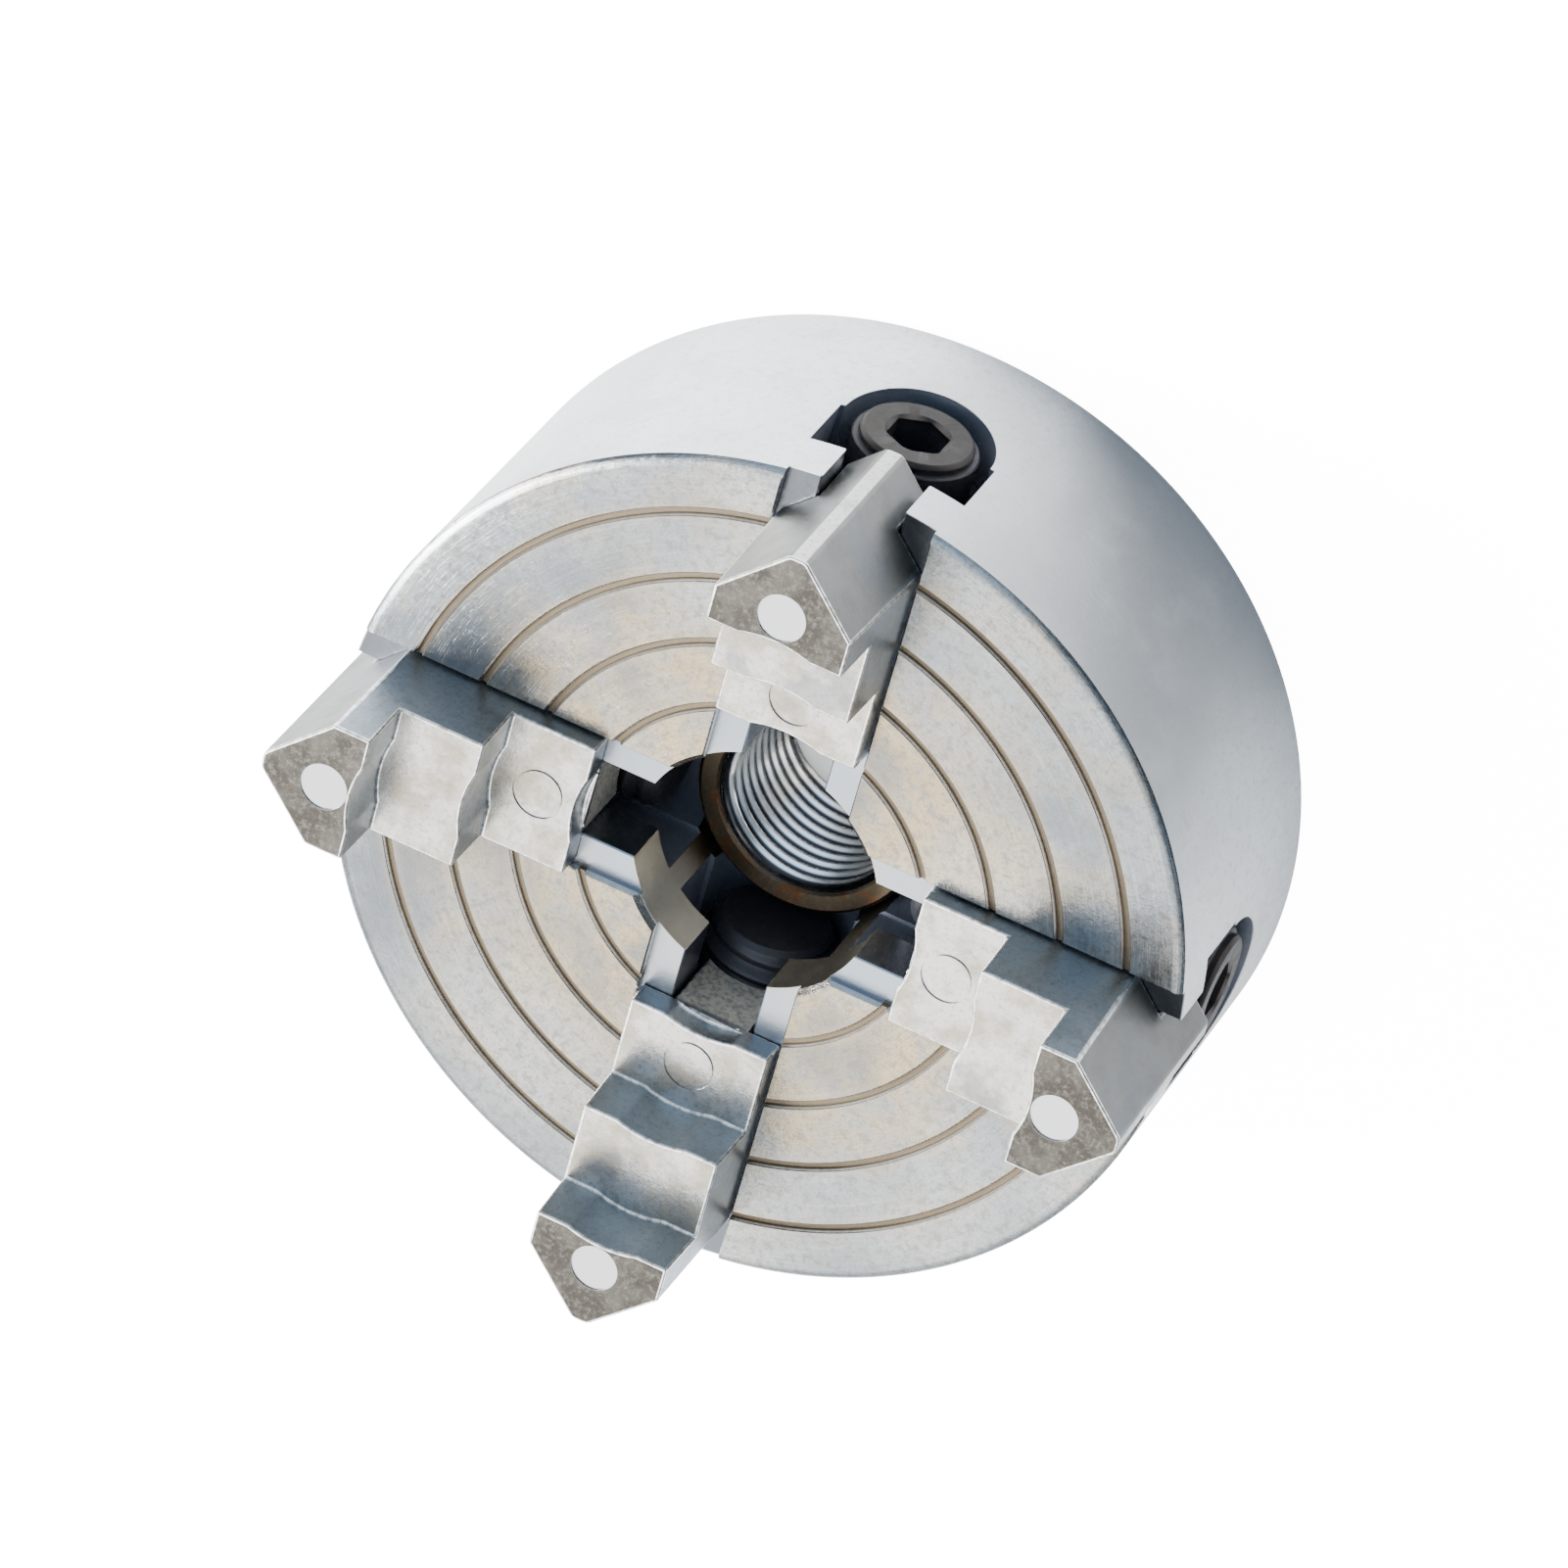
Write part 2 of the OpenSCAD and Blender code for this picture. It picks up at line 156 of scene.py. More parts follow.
class Graph:
    """Adds nodes to one shader or geometry tree."""

    def __init__(self, tree: bpy.types.NodeTree) -> None:
        """Starts on a tree.

        Args:
            tree: the tree to add to.
        """
        self.tree = tree

    def feed(self, socket: bpy.types.NodeSocket, value: object) -> None:
        """Links a signal to an input, or sets the input's own value.

        Args:
            socket: the input.
            value: a Signal, a socket or a plain value.
        """
        if isinstance(value, Signal):
            self.tree.links.new(value.socket, socket)
        elif isinstance(value, bpy.types.NodeSocket):
            self.tree.links.new(value, socket)
        else:
            socket.default_value = value

    def node(
        self,
        kind: str,
        settings: dict[str, object] | None = None,
        inputs: dict[str | int, object] | None = None,
    ) -> bpy.types.Node:
        """Adds one node.

        Args:
            kind: the node's type name.
            settings: the node's own properties, set first.
            inputs: values or links by socket name or number.

        Returns:
            The node.
        """
        made = self.tree.nodes.new(kind)
        for name, value in (settings or {}).items():
            setattr(made, name, value)
        for key, value in (inputs or {}).items():
            self.feed(made.inputs[key], value)
        return made

    def signal(
        self,
        kind: str,
        settings: dict[str, object] | None = None,
        inputs: dict[str | int, object] | None = None,
        output: int | str = 0,
    ) -> Signal:
        """Adds one node and wraps one of its outputs.

        Args:
            kind: the node's type name.
            settings: the node's own properties.
            inputs: values or links by socket name or number.
            output: which output to wrap.

        Returns:
            The wrapped output.
        """
        return Signal(self, self.node(kind, settings, inputs).outputs[output])

    def maths(self, operation: str, *values: "Signal | float") -> Signal:
        """Adds a Math node.

        Args:
            operation: the node's operation.
            values: its operands, in order.

        Returns:
            The result.
        """
        return self.signal("ShaderNodeMath", {"operation": operation}, dict(enumerate(values)))

    def mix(self, share: Signal | float, first: object, second: object) -> Signal:
        """Mixes two colours.

        Args:
            share: 0 for the first, 1 for the second.
            first: a colour or a signal.
            second: a colour or a signal.

        Returns:
            The mixed colour.
        """
        inputs = {0: share, 6: first, 7: second}
        return self.signal("ShaderNodeMix", {"data_type": "RGBA"}, inputs, output=2)

    def vector(self, x: object, y: object, z: object) -> Signal:
        """Joins three values into a vector."""
        return self.signal("ShaderNodeCombineXYZ", None, {0: x, 1: y, 2: z})

    def noise(self, place: Signal, scale: float, detail: float = 3.0, rough: float = 0.5) -> Signal:
        """Soft noise from 0 to 1.

        Args:
            place: where to read it, in millimetres.
            scale: patches per millimetre.
            detail: how many finer layers.
            rough: how strong the finer layers are.

        Returns:
            The noise.
        """
        inputs = {"Vector": place, "Scale": scale, "Detail": detail, "Roughness": rough}
        return self.signal("ShaderNodeTexNoise", None, inputs)

    def bump(self, shader: bpy.types.Node, height: Signal, strength: float, depth: float) -> None:
        """Feeds a shader's Normal from a height.

        Args:
            shader: the surface shader.
            height: the height, from 0 to about 1.
            strength: how much of it shows.
            depth: what a height of 1 stands for, in millimetres.
        """
        inputs = {"Height": height, "Strength": strength, "Distance": depth * MM}
        self.feed(shader.inputs["Normal"], self.node("ShaderNodeBump", None, inputs).outputs[0])


# ---------------------------------------------------------------------------------------------
# Finishes
# ---------------------------------------------------------------------------------------------


class Spot:
    """Where a point of a surface lies, in millimetres in the chuck's frame, and which way it faces."""

    def __init__(self, graph: Graph) -> None:
        """Reads the point's place.

        Args:
            graph: the material's tree.
        """
        source = graph.node("ShaderNodeTexCoord")
        scaled = graph.node(
            "ShaderNodeVectorMath",
            {"operation": "SCALE"},
            {0: source.outputs["Object"], "Scale": 1.0 / MM},
        )
        self.place = Signal(graph, scaled.outputs[0])
        parts = graph.node("ShaderNodeSeparateXYZ", None, {0: self.place})
        facing = graph.node("ShaderNodeSeparateXYZ", None, {0: source.outputs["Normal"]})
        self.x, self.y, self.z = (Signal(graph, parts.outputs[k]) for k in range(3))
        self.up = Signal(graph, facing.outputs[2])
        self.out = graph.maths("SQRT", self.x * self.x + self.y * self.y)
        self.along = abs(self.x).most(abs(self.y))
        self.across = abs(self.x).least(abs(self.y))


@dataclass(frozen=True)
class Finish:
    """A surface finish, made once as a material and then shared."""

    name: str

    def material(self) -> bpy.types.Material:
        """Makes the material, or finds the one already made.

        Returns:
            The material.
        """
        found = bpy.data.materials.get(self.name)
        if found:
            return found
        made = bpy.data.materials.new(self.name)
        made.use_nodes = True
        made.node_tree.nodes.clear()
        graph = Graph(made.node_tree)
        shader = graph.node("ShaderNodeBsdfPrincipled")
        graph.node("ShaderNodeOutputMaterial", None, {"Surface": shader.outputs[0]})
        self.paint(graph, shader, Spot(graph))
        return made

    def paint(self, graph: Graph, shader: bpy.types.Node, spot: Spot) -> None:
        """Sets the shader's inputs. Each finish has its own."""
        raise NotImplementedError


@dataclass(frozen=True)
class TurnedCasting(Finish):
    """Cast zinc body: a turned, stained face, a tumbled bright side with one stretch painted darker as
    shade, and the slots under the rails painted near black as shade.
    """

    height: float
    radius: float
    groove_first: float
    groove_pitch: float
    groove_last: float
    rail_depth: float
    bore_radius: float
    cool: Colour = (0.20, 0.225, 0.245, 1.0)
    warm: Colour = (0.34, 0.27, 0.165, 1.0)
    # cloud: lighter patches on the face, part stain and part painted light and shade
    cloud: Colour = (0.43, 0.425, 0.405, 1.0)
    scratch: Colour = (0.62, 0.61, 0.585, 1.0)
    patch: Colour = (0.25, 0.255, 0.255, 1.0)
    # smudge: painted dark reflection, laid in random patches on the face
    painted_dark_reflection: Colour = (0.10, 0.115, 0.13, 1.0)
    speck: Colour = (0.15, 0.148, 0.145, 1.0)
    grain: Colour = (0.12, 0.12, 0.12, 1.0)
    bright: Colour = (0.80, 0.81, 0.82, 1.0)
    # dull: painted shade for one darker stretch of the side
    dull: Colour = (0.25, 0.255, 0.265, 1.0)
    drift: Colour = (0.46, 0.47, 0.48, 1.0)
    blotch: Colour = (0.50, 0.51, 0.52, 1.0)
    fleck: Colour = (0.36, 0.37, 0.38, 1.0)
    pore: Colour = (0.25, 0.26, 0.27, 1.0)
    # wall: painted shade, a darker blue grey for the inner walls
    painted_wall_shade: Colour = (0.27, 0.30, 0.34, 1.0)
    worn_wall: Colour = (0.36, 0.36, 0.35, 1.0)
    shadow: Colour = (0.07, 0.075, 0.085, 1.0)
    bore: Colour = (0.36, 0.335, 0.285, 1.0)
    grime: Colour = (0.15, 0.122, 0.085, 1.0)
    halo: Colour = (0.34, 0.28, 0.20, 1.0)
    # black: painted shade for the cavities under the rails
    black: Colour = (0.13, 0.145, 0.185, 1.0)

    def paint(self, graph: Graph, shader: bpy.types.Node, spot: Spot) -> None:
        """Paints the face, the side, the grooves and the slots by where they lie."""
        blotch = graph.noise(spot.place, 0.16, 4.0, 0.6)
        speck = graph.noise(spot.place, 1.3, 5.0, 0.7)
        grain = graph.noise(spot.place, 4.5, 3.0, 0.7)
        turned = graph.vector(spot.out * 7.0, spot.x * 0.12, spot.y * 0.12)
        marks = graph.noise(turned, 1.0, 4.0, 0.75)
        on_face = spot.z.rise(self.height - 0.9, self.height - 0.7) * spot.up.rise(0.5, 0.8)
        inside = spot.out.fall(self.radius - 0.12, self.radius - 0.06)

        side = self.side(graph, spot, blotch, speck, grain)
        # the walls inside the rim take the painted shade colour of walls()
        inner = self.walls(graph, spot, blotch)
        side = graph.mix(inside * spot.z.fall(self.height - 0.6, self.height - 0.5), side, inner)
        face = self.face(graph, spot, blotch, speck, grain, marks)
        metal = graph.mix(on_face, side, face)

        groove, halo = self.grooves(spot)
        metal = graph.mix(halo * blotch * 0.5, metal, self.halo)
        metal = graph.mix(groove, metal, self.grime)

        # painted shade: the cavities under the rails, beyond the bore, are painted near black and less
        # metallic
        under = spot.z.fall(self.height - self.rail_depth - 0.02, self.height - self.rail_depth)
        beyond = spot.out.rise(self.bore_radius + 0.02, self.bore_radius + 0.08)
        hollow = under * inside * beyond

        graph.feed(shader.inputs["Metallic"], 1.0 - hollow * 0.7)
        graph.feed(shader.inputs["Base Color"], graph.mix(hollow, metal, self.black))
        rough = 0.23 + (marks - 0.5) * 0.24 * on_face + (blotch - 0.5) * 0.18
        rough = rough + 0.09 * (1.0 - on_face) + groove * 0.3
        graph.feed(shader.inputs["Roughness"], (rough + hollow * 0.2).most(0.18))
        height = marks * on_face * 0.7 + speck * 0.5 + blotch * 0.5 + grain * 0.3
        graph.bump(shader, height, 0.5, 0.08)

    def face(
        self, graph: Graph, spot: Spot, blotch: Signal, speck: Signal, grain: Signal, marks: Signal
    ) -> Signal:
        """The turned face: tan near the bore, blue grey near the rim, clouded and scratched. Its lighter
        clouds are part stain and part painted light and shade, and its darker bluish patches are painted
        dark reflections.

        Args:
            graph: the material's tree.
            spot: where the point lies.
            blotch: broad noise.
            speck: fine noise.
            grain: the finest noise.
            marks: noise drawn out along the turning marks.

        Returns:
            The face's colour.
        """
        warmth = spot.out.fall(12.0, 31.0) + (blotch - 0.5) * 2.6
        face = graph.mix(warmth.most(0.0).least(1.0), self.cool, self.warm)
        cloud = graph.noise(spot.place, 0.055, 3.0, 0.55)
        # lighter clouds: part stain, part painted light and shade across the face
        face = graph.mix(cloud.rise(0.44, 0.66) * 0.5, face, self.cloud)
        face = graph.mix((marks - 0.48).most(0.0), face, self.scratch)
        patch = graph.noise(spot.place, 0.55, 4.0, 0.65)
        face = graph.mix(patch.rise(0.46, 0.62) * 0.5, face, self.patch)
        # painted reflection: dark bluish patches where the cloud noise is low
        face = graph.mix(cloud.fall(0.34, 0.44) * 0.55, face, self.painted_dark_reflection)
        face = graph.mix(speck.rise(0.47, 0.64) * 0.6, face, self.speck)
        return graph.mix(grain.rise(0.5, 0.64) * 0.35, face, self.grain)

    def side(
        self, graph: Graph, spot: Spot, blotch: Signal, speck: Signal, grain: Signal
    ) -> Signal:
        """The tumbled outside, with one darker stretch round it that is painted shade.

        Args:
            graph: the material's tree.
            spot: where the point lies.
            blotch: broad noise.
            speck: fine noise.
            grain: the finest noise.

        Returns:
            The side's colour.
        """
        drift = graph.noise(graph.vector(spot.x, spot.y, spot.z * 0.45), 0.05, 3.0, 0.5)
        # painted shade: the side darkens towards one stretch round it
        painted_shade_band = (spot.x * -0.57 - spot.y * 0.82) / self.radius + (drift - 0.5) * 0.35
        side = graph.mix(painted_shade_band.rise(0.74, 0.98) * 0.85, self.bright, self.dull)
        side = graph.mix(drift.rise(0.5, 0.7) * 0.4, side, self.drift)
        side = graph.mix(blotch.rise(0.45, 0.75) * 0.35, side, self.blotch)
        side = graph.mix(speck.rise(0.50, 0.68) * 0.35, side, self.fleck)
        return graph.mix(grain.rise(0.5, 0.66) * 0.2, side, self.pore)

    def walls(self, graph: Graph, spot: Spot, blotch: Signal) -> Signal:
        """The walls of the channels and of the bore, painted darker blue grey than the side as shade, with
        a painted shadow on the channel floors near the rim.

        Args:
            graph: the material's tree.
            spot: where the point lies.
            blotch: broad noise.

        Returns:
            The walls' colour.
        """
        inner = graph.mix(blotch.rise(0.4, 0.7) * 0.5, self.painted_wall_shade, self.worn_wall)
        floor = spot.up.rise(0.5, 0.8) * spot.out.rise(self.radius - 5.5, self.radius - 2.5)
        inner = graph.mix(floor * 0.8, inner, self.shadow)
        at_bore = spot.out.fall(self.bore_radius + 0.02, self.bore_radius + 0.08)
        return graph.mix(at_bore, inner, self.bore)

    def grooves(self, spot: Spot) -> tuple[Signal, Signal]:
        """Masks of the face's grooves and of the stain beside them.

        Args:
            spot: where the point lies.

        Returns:
            The grooves' mask and the stain's.
        """
        step = self.groove_pitch
        offset = abs((spot.out - self.groove_first + step / 2) % step - step / 2)
        ringed = spot.out.rise(self.groove_first - 1.0, self.groove_first - 0.9)
        ringed = ringed * spot.out.fall(self.groove_last + 0.9, self.groove_last + 1.0)
        ringed = ringed * spot.z.rise(self.height - 0.9, self.height - 0.8)
        return offset.fall(0.20, 0.30) * ringed, offset.fall(0.3, 1.1) * ringed


@dataclass(frozen=True)
class JawCasting(Finish):
    """Cast zinc jaw: satin and pale, with a dull brown skin left on its top and a bright moulding mark.
    Its sides and risers carry painted shade, darker on the slants of the point.
    """

    top: float
    foot: float
    inner: float
    mark_along: float
    mark_radius: float
    nose: float
    pale: Colour = (0.47, 0.462, 0.435, 1.0)
    warm: Colour = (0.27, 0.235, 0.175, 1.0)
    # shade and slant: painted shade on the jaw's sides and risers, darker on the slants of the point
    shade: Colour = (0.26, 0.31, 0.365, 1.0)
    slant: Colour = (0.135, 0.14, 0.142, 1.0)
    # blunt: painted highlight on the blunt nose of the point
    blunt: Colour = (0.62, 0.62, 0.60, 1.0)
    speck: Colour = (0.20, 0.19, 0.17, 1.0)
    # smear: painted dark reflections, laid as random dark blue grey patches
    dark_reflection_patch: Colour = (0.15, 0.165, 0.185, 1.0)
    grain: Colour = (0.18, 0.18, 0.175, 1.0)
    cast: Colour = (0.60, 0.565, 0.49, 1.0)
    dark_cast: Colour = (0.34, 0.325, 0.295, 1.0)
    skin: Colour = (0.055, 0.050, 0.043, 1.0)
    thin_skin: Colour = (0.10, 0.092, 0.080, 1.0)
    skin_speck: Colour = (0.20, 0.185, 0.165, 1.0)
    mark: Colour = (0.44, 0.45, 0.46, 1.0)

    def paint(self, graph: Graph, shader: bpy.types.Node, spot: Spot) -> None:
        """Paints the casting, the skin on its top and the mark in the skin, with painted shade on the
        sides, a painted highlight on the nose and painted dark reflections in patches.
        """
        blotch = graph.noise(spot.place, 0.33, 4.0, 0.6)
        speck = graph.noise(spot.place, 2.4, 4.0, 0.7)
        streak = graph.noise(graph.vector(spot.x * 0.5, spot.y * 0.5, spot.z * 3.0), 0.9, 3.0, 0.6)
        flat = spot.up.rise(0.6, 0.9)
        metal = graph.mix(blotch.rise(0.40, 0.66) * 0.75, self.pale, self.warm)
        # painted shade: faces that are not flat take the shade colour, and the point's slants a darker one
        slant = spot.along.rise(self.mark_along + 0.2, self.mark_along + 0.5)
        shade = graph.mix(slant, self.shade, self.slant)
        # painted highlight: the blunt nose of the point is painted pale
        nose = spot.along.rise(self.nose - 0.05, self.nose - 0.02)
        shade = graph.mix(nose, shade, self.blunt)
        metal = graph.mix((1.0 - flat) * 0.85, metal, shade)
        metal = graph.mix(speck.rise(0.50, 0.68) * 0.5, metal, self.speck)

        # painted reflection: random dark blue grey patches stand in for dark reflections
        dark_reflection_patch = graph.noise(spot.place, 0.13, 4.0, 0.65)
        metal = graph.mix(dark_reflection_patch.rise(0.54, 0.66) * 0.6, metal, self.dark_reflection_patch)
        grain = graph.noise(spot.place, 5.0, 3.0, 0.7)
        metal = graph.mix(grain.rise(0.5, 0.65) * 0.25, metal, self.grain)
        rough_cast = graph.mix(speck.rise(0.42, 0.66), self.cast, self.dark_cast)
        below = spot.z.fall(self.foot - 0.3, self.foot + 0.1)
        below = below * spot.along.fall(self.inner + 0.6, self.inner + 1.6)
        metal = graph.mix(below, metal, rough_cast)

        on_top = spot.z.rise(self.top - 0.30, self.top - 0.22) * flat
        away = spot.along - self.mark_along
        reach = graph.maths("SQRT", away * away + spot.across * spot.across)
        marked = reach.fall(self.mark_radius - 0.04, self.mark_radius + 0.04)
        skin = graph.mix(blotch.rise(0.4, 0.65), self.skin, self.thin_skin)
        skin = graph.mix(speck.rise(0.45, 0.7) * 0.5, skin, self.skin_speck)
        skin = graph.mix(marked, skin, self.mark)

        graph.feed(shader.inputs["Metallic"], 1.0 - below * 0.55)
        graph.feed(shader.inputs["Base Color"], graph.mix(on_top, metal, skin))
        rough = 0.38 - flat * 0.12 + (blotch - 0.5) * 0.25 + (streak - 0.5) * 0.12
        rough = rough + on_top * (1.0 - marked) * 0.30
        graph.feed(shader.inputs["Roughness"], rough.most(0.2))
        height = blotch * 0.7 + speck * (0.4 + 0.7 * on_top * (1.0 - marked)) + streak * 0.3
        graph.bump(shader, height, 0.42, 0.08)


@dataclass(frozen=True)
class WornAndHighlitEdge(Finish):
    """The rubbed, bright edge of a casting: partly real wear and partly a painted highlight along every
    rounded edge.
    """

    worn: Colour = (0.80, 0.80, 0.78, 1.0)
    dull: Colour = (0.40, 0.39, 0.37, 1.0)

    def paint(self, graph: Graph, shader: bpy.types.Node, spot: Spot) -> None:
        """Paints bright metal that is a little duller in places."""
        speck = graph.noise(spot.place, 1.7, 3.0, 0.6)
        shader.inputs["Metallic"].default_value = 1.0
        # wear and painted highlight: the edge is painted far paler than the casting beside it
        colour = graph.mix(speck.rise(0.42, 0.62) * 0.85, self.worn, self.dull)
        graph.feed(shader.inputs["Base Color"], colour)
        graph.feed(shader.inputs["Roughness"], 0.26 + speck * 0.16)


@dataclass(frozen=True)
class BlackOxide(Finish):
    """Black oxide on steel, rubbed from one distance off the chuck's axis out to another.

    The distances that it starts with lie outside the chuck, so nothing is rubbed.
    """

    rub_from: float = 100.0
    rub_to: float = 101.0
    black: Colour = (0.028, 0.029, 0.036, 1.0)
    faded: Colour = (0.030, 0.029, 0.030, 1.0)
    rubbed: Colour = (0.040, 0.036, 0.033, 1.0)

    def paint(self, graph: Graph, shader: bpy.types.Node, spot: Spot) -> None:
        """Paints the oxide, and the rub from one distance out to another."""
        blotch = graph.noise(spot.place, 0.8, 4.0, 0.6)
        speck = graph.noise(spot.place, 4.0, 4.0, 0.7)
        rub = spot.along.rise(self.rub_from, self.rub_to) * (0.55 + blotch * 0.7)
        oxide = graph.mix(blotch.rise(0.45, 0.8) * 0.6, self.black, self.faded)
        metal = graph.mix(rub.least(1.0), oxide, self.rubbed)
        graph.feed(shader.inputs["Metallic"], 0.5 + rub.least(1.0) * 0.5)
        graph.feed(shader.inputs["Base Color"], metal)
        graph.feed(shader.inputs["Roughness"], 0.36 + blotch * 0.14 + speck * 0.08)
        graph.bump(shader, speck, 0.25, 0.03)


@dataclass(frozen=True)
class HubSteel(Finish):
    """Turned steel hub: bright thread with its roots painted dark as shade, tarnished brown front ring and
    an oiled black outside.
    """

    thread_radius: float
    outer_radius: float
    front: float
    bright: Colour = (0.86, 0.87, 0.88, 1.0)
    tarnish: Colour = (0.070, 0.056, 0.038, 1.0)
    rust: Colour = (0.11, 0.045, 0.018, 1.0)
    scuff: Colour = (0.12, 0.10, 0.08, 1.0)
    worn: Colour = (0.45, 0.44, 0.42, 1.0)
    # grease: painted shade in the thread's roots
    painted_root_shade: Colour = (0.035, 0.037, 0.042, 1.0)
    black: Colour = (0.030, 0.031, 0.037, 1.0)

    def paint(self, graph: Graph, shader: bpy.types.Node, spot: Spot) -> None:
        """Paints the three bands by their distance from the axis."""
        blotch = graph.noise(spot.place, 0.45, 4.0, 0.6)
        speck = graph.noise(spot.place, 3.0, 4.0, 0.7)
        ring = graph.mix(blotch.rise(0.5, 0.68) * 0.8, self.tarnish, self.rust)
        ring = graph.mix(speck.rise(0.5, 0.7) * 0.4, ring, self.scuff)
        in_thread = spot.out.fall(self.thread_radius + 0.02, self.thread_radius + 0.08)
        outside = spot.out.rise(self.outer_radius - 0.04, self.outer_radius - 0.01)
        outside = outside.most(spot.z.fall(self.front - 0.8, self.front - 0.6))
        metal = graph.mix(outside, ring, self.black)
        thread = graph.mix(speck.rise(0.55, 0.8) * 0.3, self.bright, self.worn)
        # painted shade: the thread is painted near black from part way down its teeth to the root
        painted_root_shade = spot.out.rise(self.thread_radius - 0.46, self.thread_radius - 0.28)
        thread = graph.mix(painted_root_shade, thread, self.painted_root_shade)
        shader.inputs["Metallic"].default_value = 1.0
        graph.feed(shader.inputs["Base Color"], graph.mix(in_thread, metal, thread))
        rough = 0.42 - in_thread * 0.20 + (blotch - 0.5) * 0.15
        graph.feed(shader.inputs["Roughness"], rough.most(0.12))


@dataclass(frozen=True)
class PaleFloor(Finish):
    """Plain white paper sweep under the chuck, lit from behind only as far as the camera sees it."""

    glow: float = 14.0
    shaded: float = 0.6
    covered: float = 24.0
    paper: Colour = (0.90, 0.90, 0.90, 1.0)
    pale: Colour = (0.93, 0.93, 0.93, 1.0)

    def paint(self, graph: Graph, shader: bpy.types.Node, spot: Spot) -> None:
        """Paints matt white with the faintest cloud in it, and a painted shadow: a much weaker glow under
        the chuck.
        """
        cloud = graph.noise(spot.place, 0.01, 2.0, 0.4)
        graph.feed(shader.inputs["Base Color"], graph.mix(cloud, self.paper, self.pale))
        shader.inputs["Roughness"].default_value = 0.9
        shader.inputs["Specular IOR Level"].default_value = 0.1
        shader.inputs["Emission Color"].default_value = (1.0, 1.0, 1.0, 1.0)
        seen = graph.signal("ShaderNodeLightPath", output="Is Camera Ray")
        # painted shadow: within the covered radius the floor glows far less
        open_floor = spot.out.rise(self.covered, self.covered + 2.0)
        glow = self.shaded + (self.glow - self.shaded) * open_floor
        graph.feed(shader.inputs["Emission Strength"], seen * glow)


# ---------------------------------------------------------------------------------------------
# Mesh making
# ---------------------------------------------------------------------------------------------


def add_object(name: str, mesh: bpy.types.Mesh) -> bpy.types.Object:
    """Puts a mesh in the scene.

    Args:
        name: the object's name.
        mesh: its mesh.

    Returns:
        The new object, at the origin.
    """
    made = bpy.data.objects.new(name, mesh)
    bpy.context.scene.collection.objects.link(made)
    return made


def object_from(name: str, shape: bmesh.types.BMesh) -> bpy.types.Object:
    """Turns a bmesh into an object with its faces outwards.

    Args:
        name: the object's name.
        shape: the bmesh, which is freed.

    Returns:
        The new object.
    """
    bmesh.ops.remove_doubles(shape, verts=shape.verts, dist=0.0005 * MM)
    bmesh.ops.recalc_face_normals(shape, faces=shape.faces)
    mesh = bpy.data.meshes.new(name)
    shape.to_mesh(mesh)
    shape.free()
    return add_object(name, mesh)


def bake(piece: bpy.types.Object) -> bpy.types.Object:
    """Makes what a piece's modifiers give its own plain mesh, and drops the modifiers.

    Args:
        piece: the piece to bake.

    Returns:
        The same piece.
    """
    bpy.context.view_layer.update()
    evaluated = piece.evaluated_get(bpy.context.evaluated_depsgraph_get())
    mesh = bpy.data.meshes.new_from_object(evaluated)
    piece.modifiers.clear()
    piece.data = mesh
    return piece


def combine(piece: bpy.types.Object, tools: Sequence[bpy.types.Object], how: str) -> bpy.types.Object:
    """Joins tools to a piece, cuts them from it or keeps what they share.

    Args:
        piece: the piece to change.
        tools: closed solids, removed afterwards.
        how: UNION, DIFFERENCE or INTERSECT.

    Returns:
        The same piece.
    """
    for tool in tools:
        modifier = piece.modifiers.new("combine", "BOOLEAN")
        modifier.object = tool
        modifier.operation = how
        modifier.solver = "MANIFOLD"
        bake(piece)
        bpy.data.objects.remove(tool)
    return piece


def dissolve(piece: bpy.types.Object) -> bpy.types.Object:
    """Joins faces of a piece that lie in one plane, and drops the points left on straight edges.

    Args:
        piece: the piece to change.

    Returns:
        The same piece.
    """
    shape = bmesh.new()
    shape.from_mesh(piece.data)
    bmesh.ops.remove_doubles(shape, verts=shape.verts, dist=0.0005 * MM)
    bmesh.ops.dissolve_limit(
        shape, angle_limit=math.radians(0.2), verts=shape.verts, edges=shape.edges
    )
    shape.to_mesh(piece.data)
    shape.free()
    return piece


def soften(piece: bpy.types.Object, width: float, slot: int = -1) -> bpy.types.Object:
    """Rounds the edges of a piece.

    Args:
        piece: the piece to change.
        width: how far the rounding reaches from an edge.
        slot: the material slot of the rounded edges, or -1 for that of the faces beside them.

    Returns:
        The same piece.
    """
    modifier = piece.modifiers.new("soften", "BEVEL")
    modifier.width = width
    modifier.segments = 3
    modifier.limit_method = "ANGLE"
    modifier.angle_limit = math.radians(38)
    modifier.material = slot
    modifier.use_clamp_overlap = False
    return bake(piece)


